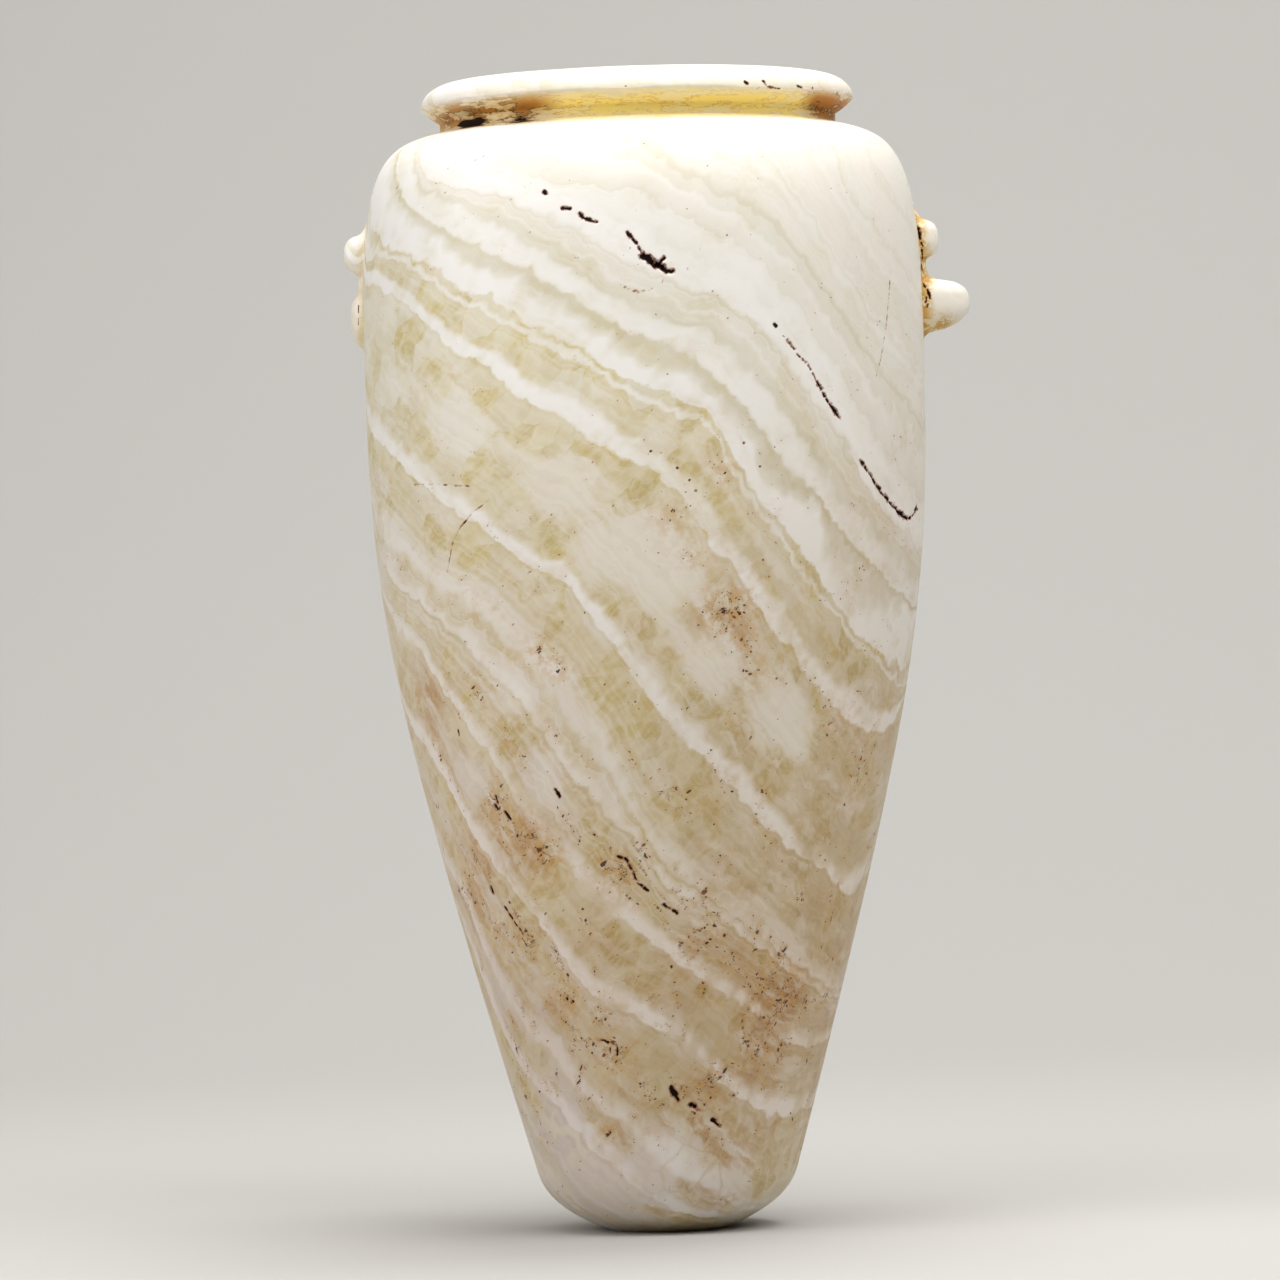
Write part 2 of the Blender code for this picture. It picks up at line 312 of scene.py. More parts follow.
def on_front(across_mm, up_mm):
    """The point on the front of the jar at millimetres across and up."""
    x, z = across_mm * MM, up_mm * MM
    radius = front_radius(z)
    return Vector((x, -math.sqrt(max(radius * radius - x * x, 0.0)), z))


DASH_PITCH_MM = 2.5
DASH_SIDE_MM = 0.5
DASH_START = 0.15
DASH_END = (0.45, 0.5)
DASH_WIDTH = (0.5, 1.1)


def dashes_of(points):
    """A line of points cut into short dashes, each with its own length, width and place to the side."""
    for a, b in zip(points, points[1:]):
        count = max(1, round((b - a).length / (DASH_PITCH_MM * MM)))
        for i in range(count):
            uneven = 0.5 + 0.5 * noise.noise(1.7 * (a + b) / MM + Vector((3.1 * i, 0.0, 0.0)))
            aside = Vector((0.0, 0.0, DASH_SIDE_MM * MM * (2.0 * uneven - 1.0)))
            start = (i + DASH_START * uneven) / count
            end = (i + DASH_END[0] + DASH_END[1] * uneven) / count
            width = DASH_WIDTH[0] + DASH_WIDTH[1] * uneven
            yield [a.lerp(b, start) + aside, a.lerp(b, end) + aside], width


marks = []
for kind, group in (("pit", PITS), ("pore", PORE_LINES), ("hairline", HAIRLINES), ("chip", CHIPS)):
    for points, wide, deep in group:
        placed = [on_front(*p) for p in points]
        pieces = dashes_of(placed) if kind == "pore" else [(placed, 1.0)]
        for piece, share in pieces:
            marks.append((piece, share * wide * MM, deep * MM, DARKNESS[kind]))
for place in PORES:
    marks.append(([on_front(*place)], PORE_SIZE[0] * MM, PORE_SIZE[1] * MM, DARKNESS["pore"]))
print("placed marks:", len(marks))

# %% [markdown]
# ## Finer faces where the carving is fine
#
# The spun faces are 2 to 3 mm across, which is plenty for the smooth wall and far too coarse for a pit of
# 1 mm. Splitting every face would make millions. So only the faces near a mark or a lug are split, in
# rounds that draw closer in each time, and the stone between them stays light.

# %% Split faces near marks and lugs
SPOT_SPACING = 0.0012
MARK_REACHES = (0.0048, 0.0033, 0.0020)
LUG_REACHES = (0.0165, 0.0125)
LUG_TOP_HEIGHT = 0.2840
LUG_FOOT_HEIGHT = 0.2450


def spots_along(points):
    """Points along a line of points, close together."""
    spots = [points[0]]
    for a, b in zip(points, points[1:]):
        count = max(1, math.ceil((b - a).length / SPOT_SPACING))
        spots += [a.lerp(b, i / count) for i in range(1, count + 1)]
    return spots


def tree_of(spots):
    """A search tree over points, for asking how near the nearest one is."""
    tree = kdtree.KDTree(len(spots))
    for i, spot in enumerate(spots):
        tree.insert(spot, i)
    tree.balance()
    return tree


def split_near(bm, spots, reaches):
    """Splits the faces near the spots once for each reach, from the widest to the closest."""
    tree = tree_of(spots)
    for reach in reaches:
        near = [f for f in bm.faces if tree.find(f.calc_center_median())[2] < reach]
        edges = list({e for f in near for e in f.edges})
        bmesh.ops.subdivide_edges(bm, edges=edges, cuts=1, use_grid_fill=True)


lug_spots = []
for side in (-1.0, 1.0):
    for height in np.arange(LUG_FOOT_HEIGHT, LUG_TOP_HEIGHT, 2 * SPOT_SPACING):
        lug_spots.append(Vector((side * float(wall_radius(height)), 0.0, height)))
split_near(body, lug_spots, LUG_REACHES)
split_near(body, [s for points, *_ in marks for s in spots_along(points)], MARK_REACHES)
print("faces after splitting:", len(body.faces))

# %% [markdown]
# ## The lug handles
#
# Each lug is a low upright ridge that carries two knobs, cut from the same stone. It is built as level
# slices: a slice is a half oval that stands out from the wall, and its reach and width change with height.
# `bridge_loops` joins slice to slice. On the far side the lower knob has broken off and worn to a stump.

# %% Lug slices
UPPER_KNOB = dict(height=0.2734, half_height=0.0058, reach=0.0059, half_width=0.0046)
LOWER_KNOB = dict(height=0.2548, half_height=0.0075, reach=0.0133, half_width=0.0062)
WORN_STUMP = dict(height=0.2548, half_height=0.0075, reach=0.0036, half_width=0.0056)
KNOB_TOP_BLUNTNESS = 3.0
KNOB_UNDER_BLUNTNESS = 2.0
KNOB_PLAN_BLUNTNESS = 2.4
RIDGE_REACH = 0.0016
RIDGE_HALF_WIDTH = 0.0036
RIDGE_END_WIDTH_SHARE = 0.4
RIDGE_END_SINK = 0.0010
RIDGE_END_SHARPNESS = 6
LUG_ROOT_DEPTH = 0.0040
LUG_TOP = UPPER_KNOB["height"] + UPPER_KNOB["half_height"] + 0.0048
LUG_BOTTOM = LOWER_KNOB["height"] - LOWER_KNOB["half_height"] - 0.0022
SLICES_PER_KNOB = 25
SLICE_POINTS = 34


def fullness(height, knob):
    """How full a knob is at a height: 1 at its centre, 0 past its ends, and blunter on top."""
    share = abs(height - knob["height"]) / knob["half_height"]
    blunt = KNOB_TOP_BLUNTNESS if height > knob["height"] else KNOB_UNDER_BLUNTNESS
    return 0.0 if share >= 1.0 else (1.0 - share ** blunt) ** (1.0 / blunt)


def lug_slices(knobs):
    """(height, reach, half width) of each level slice, from bottom to top."""
    middle, half = 0.5 * (LUG_TOP + LUG_BOTTOM), 0.5 * (LUG_TOP - LUG_BOTTOM)
    heights = set(np.linspace(LUG_BOTTOM, LUG_TOP, SLICES_PER_KNOB))
    for knob in knobs:
        angles = np.linspace(-QUARTER, QUARTER, SLICES_PER_KNOB)
        heights |= set(knob["height"] + knob["half_height"] * np.sin(angles))
    slices = []
    for height in sorted(heights):
        ending = abs((height - middle) / half) ** RIDGE_END_SHARPNESS
        reach = RIDGE_REACH - (RIDGE_REACH + RIDGE_END_SINK) * ending
        width = RIDGE_HALF_WIDTH * (1.0 - (1.0 - RIDGE_END_WIDTH_SHARE) * ending)
        for knob in knobs:
            full = fullness(height, knob)
            reach = max(reach, knob["reach"] * full)
            width = max(width, knob["half_width"] * full)
        slices.append((height, reach, width))
    return slices


def lug(side, knobs):
    """One lug as a closed solid rooted in the wall."""
    bm = bmesh.new()
    rings = []
    for height, reach, half_width in lug_slices(knobs):
        wall = float(wall_radius(height))
        root = wall - LUG_ROOT_DEPTH
        ring = [bm.verts.new((side * root, side * half_width, height))]
        for i in range(SLICE_POINTS):
            angle = QUARTER - 2.0 * QUARTER * (i + 0.5) / SLICE_POINTS
            out = math.cos(angle) ** (2.0 / KNOB_PLAN_BLUNTNESS)
            across = math.copysign(abs(math.sin(angle)) ** (2.0 / KNOB_PLAN_BLUNTNESS), angle)
            place = side * (root + (wall + reach - root) * out)
            ring.append(bm.verts.new((place, side * half_width * across, height)))
        ring.append(bm.verts.new((side * root, -side * half_width, height)))
        rings.append([bm.edges.new(pair) for pair in zip(ring, ring[1:] + ring[:1])])
    for low, high in zip(rings, rings[1:]):
        bmesh.ops.bridge_loops(bm, edges=low + high)
    bmesh.ops.holes_fill(bm, edges=rings[0] + rings[-1], sides=0)
    bmesh.ops.triangulate(bm, faces=bm.faces)
    bmesh.ops.recalc_face_normals(bm, faces=bm.faces)
    return bm


# %% [markdown]
# ## One stone
#
# The lugs and the body are one carving, so they become one closed mesh: a Boolean union with the EXACT
# solver, read back through the dependency graph. A union leaves a knife-sharp corner where the shapes
# meet. No stone carver leaves that, so the points near the corner are relaxed into a small fillet.

# %% Join the lugs to the body
FILLET_ANGLE = math.radians(28.0)
FILLET_REACH = 0.0016
FILLET_ROUNDS = 6
LUG_SOFTEN_ROUNDS = 2
LUG_ZONE_SHARE = 1.6
LUG_FACE_SHARE = 0.3


def object_of(name, bm):
    """Turns a bmesh into an object of the scene."""
    mesh = bpy.data.meshes.new(name)
    bm.to_mesh(mesh)
    bm.free()
    made = bpy.data.objects.new(name, mesh)
    bpy.context.scene.collection.objects.link(made)
    return made


def union_of(body_bm, tool_bms):
    """One bmesh from a Boolean union of the body with every tool."""
    target = object_of("body_blank", body_bm)
    tools = [object_of(f"lug_blank_{i}", bm) for i, bm in enumerate(tool_bms)]
    for tool in tools:
        union = target.modifiers.new(tool.name, "BOOLEAN")
        union.operation = "UNION"
        union.solver = "EXACT"
        union.object = tool
    joined = bmesh.new()
    joined.from_object(target, bpy.context.evaluated_depsgraph_get())
    for blank in [target] + tools:
        bpy.data.objects.remove(blank)
    return joined


def relax(bm, verts, rounds):
    """Smooths the chosen points a few times."""
    for _ in range(rounds):
        bmesh.ops.smooth_vert(
            bm, verts=verts, factor=0.5, use_axis_x=True, use_axis_y=True, use_axis_z=True
        )


stone = union_of(body, [lug(1.0, (UPPER_KNOB, LOWER_KNOB)), lug(-1.0, (UPPER_KNOB, WORN_STUMP))])
bmesh.ops.triangulate(stone, faces=[f for f in stone.faces if len(f.verts) > 4])
lug_half_zone = LUG_ZONE_SHARE * LOWER_KNOB["half_width"]
corner_spots = []
for edge in stone.edges:
    middle = (edge.verts[0].co + edge.verts[1].co) / 2
    in_zone = abs(middle.y) < lug_half_zone and LUG_BOTTOM < middle.z < LUG_TOP
    outside = abs(middle.x) > float(wall_radius(middle.z)) - 0.5 * LUG_ROOT_DEPTH
    if in_zone and outside and len(edge.link_faces) == 2 and edge.calc_face_angle() > FILLET_ANGLE:
        corner_spots.append(middle)
corner_tree = tree_of(corner_spots)
relax(stone, [v for v in stone.verts if corner_tree.find(v.co)[2] < FILLET_REACH], FILLET_ROUNDS)
lug_verts = [
    v for v in stone.verts
    if LUG_BOTTOM < v.co.z < LUG_TOP
    and abs(v.co.x) > float(wall_radius(v.co.z)) + LUG_FACE_SHARE * RIDGE_REACH
]
relax(stone, lug_verts, LUG_SOFTEN_ROUNDS)
print("corner points:", len(corner_spots), "lug points:", len(lug_verts), "faces:", len(stone.faces))

# %% [markdown]
# ## Pits at the roots of the lugs
#
# Dirt has eaten small upright pits into the corner between the lugs and the wall. They lie on a shape that
# has no formula, so each point is found by shooting a ray from the front at the joined stone. The faces
# there are split once more, so that the pits have something to be cut into.

# %% Pits at the lugs
LUG_PITS = (
    (((77.2, 276.2), (77.8, 273.4)), 0.46, 0.5), (((78.0, 272.3), (78.5, 271.2)), 0.25, 0.3),
    (((78.2, 270.2), (78.4, 267.9)), 0.28, 0.4), (((78.0, 266.2), (78.2, 264.8)), 0.28, 0.4),
    (((77.4, 265.4), (77.9, 262.5), (78.6, 259.9)), 0.26, 0.4), (((79.3, 259.1), (80.0, 256.6)), 0.28, 0.4),
    (((79.0, 256.9), (78.8, 255.6)), 0.24, 0.3), (((79.4, 255.0), (79.1, 254.2)), 0.21, 0.3),
    (((-79.2, 259.4), (-79.3, 257.4)), 0.12, 0.2), (((-79.3, 255.6), (-79.4, 253.8)), 0.11, 0.2),
)
LUG_PIT_REACHES = (0.0022, 0.0013)
RAY_START_Y = -0.2
surface = BVHTree.FromBMesh(stone)


def seen_from_front(across_mm, up_mm):
    """The point of the stone that a ray from the front meets first."""
    start = Vector((across_mm * MM, RAY_START_Y, up_mm * MM))
    return surface.ray_cast(start, Vector((0.0, 1.0, 0.0)))[0]


lug_marks = []
for points, wide, deep in LUG_PITS:
    placed = [seen_from_front(*p) for p in points]
    lug_marks.append(([p for p in placed if p], wide * MM, deep * MM, DARKNESS["pit"]))
split_near(stone, [s for points, *_ in lug_marks for s in spots_along(points)], LUG_PIT_REACHES)
bmesh.ops.triangulate(stone, faces=[f for f in stone.faces if len(f.verts) > 4])
marks += lug_marks
print("marks with the lugs' pits:", len(marks), "faces:", len(stone.faces))

# %% [markdown]
# ## Carving the surface
#
# Hand-ground stone is never a perfect solid of revolution. Two sizes of noise sink the surface by up to
# 0.3 mm, and the marks are sunk on top of that. All of it goes into the stone and never outward, so the
# piece can't outgrow the frame's box. A mark's edge is made ragged by two more noises.

# %% Sink the unevenness and the marks
UNEVEN_SIZE = 0.045
UNEVEN_DEPTH = 0.00022
RIPPLE_SIZE = 0.012
RIPPLE_DEPTH = 0.00006
MARK_EDGE_SIZE = 0.0009
MARK_BREAK_SIZE = 0.0026
MARK_RAGGED = (0.9, 0.4, 0.6)
MARK_NARROWEST = 0.2
MARK_SPREAD = 2.2
MARK_BOWL = 1.7
MARK_ROUNDNESS = 1.5
REST_FADE = 0.004


def distance_to_line(places, points):
    """Distance from every place to a line of points."""
    best = np.full(len(places), np.inf)
    ends = list(zip(points, points[1:])) or [(points[0], points[0])]
    for a, b in ends:
        a, along = np.array(a), np.array(b - a)
        share = np.zeros(len(places))
        if along @ along > 0.0:
            share = np.clip((places - a) @ along / (along @ along), 0.0, 1.0)
        best = np.minimum(best, np.linalg.norm(places - a - share[:, None] * along, axis=1))
    return best


def noise_at(places, size, offset=0.0):
    """Smooth noise from about -1 to 1 at every place, with lumps of the given size."""
    return np.array([noise.noise(Vector(p) / size + Vector((offset, 0.0, 0.0))) for p in places])


stone.verts.ensure_lookup_table()
stone.normal_update()
places = np.array([v.co for v in stone.verts])
normals = np.array([v.normal for v in stone.verts])
sink = UNEVEN_DEPTH * (0.5 + 0.5 * noise_at(places, UNEVEN_SIZE))
sink += RIPPLE_DEPTH * (0.5 + 0.5 * noise_at(places, RIPPLE_SIZE, 7.0))
sink *= np.clip(places[:, 2] / REST_FADE, 0.0, 1.0)
blot = np.zeros(len(places))
ragged = MARK_RAGGED[0] + MARK_RAGGED[1] * noise_at(places, MARK_EDGE_SIZE, 3.0)
ragged += MARK_RAGGED[2] * noise_at(places, MARK_BREAK_SIZE, 5.0)
ragged = np.maximum(ragged, MARK_NARROWEST)
for points, wide, deep, dark in marks:
    far = distance_to_line(places, points) / (wide * ragged)
    blot = np.maximum(blot, dark * np.clip(1.0 - far / MARK_SPREAD, 0.0, 1.0))
    sink += deep * np.clip(1.0 - far * far / MARK_BOWL, 0.0, 1.0) ** MARK_ROUNDNESS
places -= normals * sink[:, None]
for vert, place in zip(stone.verts, places):
    vert.co = place
print("deepest carving, mm:", round(1000 * float(sink.max()), 2))

# %% [markdown]
# ## The layers of the stone
#
# This stone grew in layers, like the rings of a tree, and the jar was cut across them on a slant. Each
# seam is read from the front as a short line of (across, up) points in millimetres. A seam isn't just a
# line on the front: it is a sheet that runs through the jar and climbs toward the back. Every point of the
# mesh gets its depth below the first seam, and the material paints the bands by that depth.

# %% The seams, from the top one down
BACK_RISE = 0.85
SEAMS = {
    "cap_edge": ((-30, 318), (0, 297), (19, 282), (27, 279), (37, 272), (47, 259), (55, 246), (63, 234)),
    "grey_arc": ((-40, 303), (-9, 287), (4, 285), (14, 277), (25, 272), (32, 266), (43, 252), (54, 235),
                 (66, 212)),
    "pitted_white": ((-60, 300), (-38, 290), (-21, 281), (-11, 276), (-1, 270), (4, 266), (13, 263),
                     (25, 259), (35, 248), (43, 238), (53, 222), (62, 204), (69, 197)),
    "grey_line": ((-59, 294), (-49, 283), (-38, 278), (-22, 266), (-6, 255), (5, 250), (22, 244),
                  (32, 231), (44, 215), (55, 199)),
    "soft_white": ((-66, 290), (-48, 277), (-35, 269), (-26, 265), (-14, 258), (-5, 250), (8, 245),
                   (17, 242), (30, 226), (42, 210), (53, 191)),
    "grey_patches": ((-60, 280), (-46, 269), (-35, 263), (-19, 251), (-8, 244), (3, 239), (13, 235),
                     (23, 225), (31, 213), (38, 202)),
    "upper_white": ((-73, 281), (-62, 275), (-48, 264), (-33, 255), (-18, 246), (-7, 238), (5, 232),
                    (15, 229), (21, 219), (31, 203), (40, 192), (52, 172), (62, 161), (72, 165)),
    "thin_white": ((-60, 265), (-38, 251), (-25, 243), (-12, 236), (-1, 229), (6, 225), (15, 221),
                   (21, 212), (27, 202), (34, 192), (45, 176), (52, 166), (58, 159)),
    "second_white": ((-74, 268), (-65, 261), (-59, 253), (-50, 245), (-42, 240), (-33, 232), (-21, 226),
                     (-11, 218), (2, 211), (12, 202), (15, 192), (23, 184), (30, 173), (42, 155),
                     (55, 141), (64, 139), (68, 144)),
    "third_white": ((-76, 226), (-70, 219), (-61, 209), (-45, 197), (-29, 184), (-21, 182), (-19, 175),
                    (-10, 165), (-3, 153), (7, 140), (22, 125), (33, 111), (47, 100), (53, 94), (59, 102)),
    "milky_line": ((-65, 190), (-57, 180), (-50, 178), (-43, 173), (-33, 163), (-23, 153), (-16, 140),
                   (-8, 124), (0, 107), (8, 99), (26, 84), (40, 72), (48, 66)),
    "broken_white": ((-52, 166), (-43, 158), (-34, 147), (-25, 132), (-14, 119), (-8, 113), (2, 98)),
    "speckled_white": ((-65, 166), (-53, 147), (-44, 134), (-37, 120), (-29, 110), (-18, 97), (-8, 89),
                       (2, 80), (13, 72), (22, 66), (28, 59), (35, 53), (45, 53)),
    "lower_white": ((-62, 137), (-51, 114), (-40, 99), (-29, 84), (-21, 71), (-16, 66), (-8, 64), (1, 59),
                    (8, 52), (18, 41), (23, 37), (38, 35)),
    "foot_white": ((-55, 99), (-46, 73), (-37, 57), (-31, 53), (-23, 43), (-15, 36), (-6, 28), (14, 13),
                   (30, 6)),
}
HIDDEN_DROPS = (18, 27, 15, 31, 22, 36)
SLANT_STRETCH = 1.5
SEAM_BLUR_MM = 5
EDGE_SHARE = 0.55
EDGE_INSET_MM = 0.3
EDGE_STEPS = (0.25, 0.5, 0.75, 1.0)
SHOULDER_LIMIT_MM = 272
THINNEST_LAYER_MM = 2.5
MIDDLE_MM = 40
ACROSS = np.arange(-110.0, 90.0)


def climb(x, y, z):
    """Height of the layer at a point, measured where that layer would cross the jar's axis, in mm."""
    return z - BACK_RISE * y


def to_the_edge(points):
    """A traced seam, carried on at its own slope to the edges of the jar as seen from the front."""
    carried = list(points)
    for end, inner in ((0, 1), (-1, -2)):
        (x, z), (x_inner, z_inner) = points[end], points[inner]
        edge = math.copysign(front_radius(z * MM) / MM - EDGE_INSET_MM, x)
        if z > SHOULDER_LIMIT_MM or not EDGE_SHARE < x / edge < 1.0:
            continue
        slope = max(-1.0, min(1.0, (z - z_inner) / (x - x_inner)))
        extra = [(x + s * (edge - x), z + s * (edge - x) * slope) for s in EDGE_STEPS]
        carried = extra[::-1] + carried if end == 0 else carried + extra
    return carried


def seam_curve(points):
    """Layer height of a seam for every millimetre across the jar."""
    placed = [on_front(*p) / MM for p in to_the_edge(points)]
    across = [p.x for p in placed]
    heights = [climb(*p) for p in placed]
    slope = (heights[-1] - heights[0]) / (across[-1] - across[0])
    curve_heights = np.interp(ACROSS, across, heights)
    curve_heights += slope * (np.minimum(ACROSS - across[0], 0.0) + np.maximum(ACROSS - across[-1], 0.0))
    kernel = np.ones(SEAM_BLUR_MM) / SEAM_BLUR_MM
    padded = np.pad(curve_heights, SEAM_BLUR_MM // 2, mode="reflect", reflect_type="odd")
    return np.convolve(padded, kernel, mode="valid")


seam_curves = [seam_curve(points) for points in SEAMS.values()]
seam_names = list(SEAMS)
for i, drop in enumerate(HIDDEN_DROPS):
    seam_curves.append(seam_curves[-1] - drop)
    seam_names.append(f"hidden_{i}")
for above, below in zip(seam_curves, seam_curves[1:]):
    np.minimum(below, above - THINNEST_LAYER_MM, out=below)
middle_columns = np.abs(ACROSS) < MIDDLE_MM
layer_thickness = [
    float((above - below)[middle_columns].mean()) / SLANT_STRETCH
    for above, below in zip(seam_curves, seam_curves[1:])
]
seam_depths = dict(zip(seam_names, np.concatenate(([0.0], np.cumsum(layer_thickness)))))
print("seam depths, mm:", {name: round(float(d), 1) for name, d in seam_depths.items()})

# %% [markdown]
# ## Fields on the points
#
# A field is a number on every point of the mesh, and a material reads it by name with an Attribute node.
# The depth field carries the bands. Slow drifts, such as wide clouds, are worked out here too, once for each
# point, because a noise in the material is worked out again for every ray. Other fields say where things
# sit that belong to one place: specks, stain, milky clouds, glassy spots and a mosaic of large crystals.

# %% Depth and slow drifts
BACK_DRIFT = 0.25
SHAKE_SIZE_MM = 5.5
SHAKE_MM = 1.6
WAVE_SIZE_MM = 13.0
WAVE_MM = 0.7
ALONG_SHARE = 0.42
SWELL_SIZE_MM = 17.0
CLOUD_SIZE_MM = 8.5
GAP_SIZE_MM = 5.0
DARKEN_FROM_MM = 235.0
DARKEN_SPAN_MM = 215.0
mm = places / MM
x, y, z = mm.T


def soft_step(values, start, end):
    """A smooth step from 0 at start to 1 at end."""
    share = np.clip((values - start) / (end - start), 0.0, 1.0)
    return share * share * (3.0 - 2.0 * share)


def drift(size_mm, octaves, offset, where=mm):
    """Noise with several sizes of lumps at every point, from about -1 to 1."""
    shift = Vector((offset, -offset, 0.5 * offset))
    return np.array([noise.fractal(Vector(p) / size_mm + shift, 1.0, 2.0, octaves) for p in where])


shifted = x - BACK_DRIFT * np.maximum(y, 0.0)
heights = climb(x, y, z)
seam_here = [np.interp(shifted, ACROSS, c) for c in seam_curves]
depth = -np.maximum(heights - seam_here[0], 0.0) / SLANT_STRETCH
for above, below, thick in zip(seam_here, seam_here[1:], layer_thickness):
    depth += thick * np.clip((above - heights) / (above - below), 0.0, 1.0)
depth += np.maximum(seam_here[-1] - heights, 0.0) / SLANT_STRETCH
depth += WAVE_MM * drift(WAVE_SIZE_MM, 2, 3.0)
flow = np.stack([ALONG_SHARE * x, ALONG_SHARE * y, depth], axis=1)
swell = 0.8 + 0.4 * soft_step(drift(SWELL_SIZE_MM, 2, 5.0), -0.45, 0.45)
clouds = soft_step(drift(CLOUD_SIZE_MM, 4, 9.0, flow), -0.28, 0.42)
low_down = np.clip((DARKEN_FROM_MM - z) / DARKEN_SPAN_MM, 0.0, 1.0)
gaps = soft_step(drift(GAP_SIZE_MM, 3, 13.0, flow), -0.05, 0.45)
patchy = 1.0 - (0.35 + 0.45 * low_down) * gaps
shaken = mm + SHAKE_MM * np.stack([drift(SHAKE_SIZE_MM, 2, o) for o in (17.0, 23.0, 29.0)], axis=1)
print("depth from", round(float(depth.min()), 1), "to", round(float(depth.max()), 1), "mm")

# %% Specks, stain, clouds and large crystals
SPECK_PATCHES = (
    (19, 208, 3, 0.6), (6, 196, 4, 0.5), (11, 186, 3, 0.7), (20, 171, 5, 1.0), (24, 162, 4, 0.8),
    (27, 154, 4, 0.6), (35, 154, 3, 0.5), (48, 140, 4, 0.6), (56, 126, 5, 0.7), (-44.5, 121, 3, 1.0),
    (-41, 115, 3, 1.0), (-36, 111.5, 4, 1.0), (-31, 107, 4, 0.9), (-12, 102, 4, 0.9), (-44, 86, 4, 0.7),
    (-27, 68, 4, 0.7), (12, 81, 6, 0.6), (-14, 52, 4, 0.8), (13, 43, 4, 0.9), (-30, 161, 4, 0.6),
    (-25, 157, 3, 0.6), (28, 70, 5, 0.7), (34, 65, 5, 1.0), (-17, 63, 4, 0.6), (-48, 150, 3, 0.7),
    (-41, 139, 3, 0.8), (-52, 96, 5, 0.7), (20, 77, 5, 0.5), (26, 50, 4, 0.7), (-16, 29.5, 2, 0.9),
)
MILKY_PATCHES = (
    (-51, 223, 9), (-22, 205, 8), (-11, 187, 9), (4, 180, 9), (16, 157, 8), (32, 144, 9), (38, 135, 6),
    (-1, 22, 7), (-4, 14, 7), (17, 14, 7), (-38, 150, 7), (-30, 128, 6), (-50, 128, 6),
    (-29, 34, 8), (-25, 22, 9), (-18, 12, 8),
)
GLASSY_PATCHES = ((-26, 190, 6), (-12, 174, 4), (-50, 189, 5), (12, 222, 5), (-8, 214, 5), (20, 197, 6),
                  (-4, 166, 6), (8, 150, 6), (26, 128, 7), (2, 102, 7), (18, 92, 7), (-8, 78, 6), (6, 30, 7))
TAN_PATCHES = ((20, 168, 9), (-36, 110, 9), (34, 66, 9), (28, 58, 8), (8, 29, 6), (-50, 92, 9), (13, 9, 6),
               (-62, 150, 10), (-57, 132, 9), (-47, 106, 8), (-38, 84, 9), (-12, 100, 6), (-30, 62, 8))
MOSAIC_PATCH = (10, 17, 15)
STRING_SIZE_MM = 3.6
TAN_DRIFT_SIZE_MM = 24.0
SPECK_SPREAD = 1.3
STAIN_SPREAD = 1.7
LIMB_START_MM = 78.4
LIMB_FADE_MM = 1.6


def patch(across, up, size):
    """A soft round patch round a point of the front: 1 at its middle, fading to 0."""
    centre = np.array(on_front(across, up)) / MM
    return np.exp(-((mm - centre) ** 2).sum(axis=1) / (size * size))


strings = soft_step(drift(STRING_SIZE_MM, 3, 37.0, flow), 0.08, 0.50) * (0.15 + 0.85 * low_down)
strings *= np.clip((z + 5.0) / 60.0, 0.2, 1.0)
specks = 0.03 + 0.05 * low_down + 0.9 * strings
stain = 0.75 * strings
for across, up, size, strength in SPECK_PATCHES:
    specks = np.maximum(specks, strength * patch(across, up, SPECK_SPREAD * size))
    stain = np.maximum(stain, strength * patch(across, up, STAIN_SPREAD * size))
milk = sum(patch(*p) for p in MILKY_PATCHES)
glassy = sum(patch(*p) for p in GLASSY_PATCHES)
tan = sum(patch(*p) for p in TAN_PATCHES)
tan += 0.75 * low_down * soft_step(drift(TAN_DRIFT_SIZE_MM, 3, 31.0), -0.35, 0.35)
# Painted shade: the next field makes the lower wall pinker and darker, most on the left side, where less
# light falls.
rosy = np.clip(0.35 * low_down + 0.75 * low_down * np.clip(-x / 35.0, 0.0, 1.0), 0.0, 1.0)
# Painted shade: this field darkens and browns the lower wall where less light reaches it, more on the right,
# and fades out near the foot and in the milky patches.
aged = low_down ** 0.75 * (0.5 + 0.5 * np.clip((x + 20.0) / 60.0, 0.0, 1.0))
aged *= np.clip((z - 6.0) / 45.0, 0.0, 1.0)
aged *= 1.0 - 0.7 * np.clip(milk, 0.0, 1.0)
milk += np.clip((np.abs(x) - LIMB_START_MM) / LIMB_FADE_MM, 0.0, 1.0)
clean = 1.0 - 0.6 * np.clip(milk, 0.0, 1.0)
specks *= clean
stain *= clean
mosaic = patch(*MOSAIC_PATCH)
print("points with specks:", int((specks > 0.4).sum()), "with stain:", int((stain > 0.4).sum()))

# %% [markdown]
# ## Dirt where hands and rain don't reach
#
# Under the lip the stone has a golden crust. It turns brown-black on one side and amber on the other. The
# corners between the lugs and the wall are amber too. These are simple shapes, so each is a formula: a band
# in height times a band round the jar, or a distance from the corner points found earlier.

# %% Dirt fields
GROOVE_HEIGHT_MM = 1000 * NECK_TOP
GROOVE_SPREAD_MM = 3.8
LEVEL_SPREAD_MM = 9.0
CRUST_SPAN_MM = (-50, 62, 24)
BROWN_SPANS_MM = ((-56, -24, 8), (47, 62, 5))
SOOT_SPANS_MM = ((-50, -41, 4), (-46, -22, 6))
SOOT_DROPS_MM = (4.4, 0.6)
LUG_DIRT_REACH_MM = 3.4
KNOB_UNDERSIDE_MM = (83.0, -3.0, 248.2)
KNOB_DIRT_REACH_MM = 3.6
FAR_LUG_DIRT = 0.12


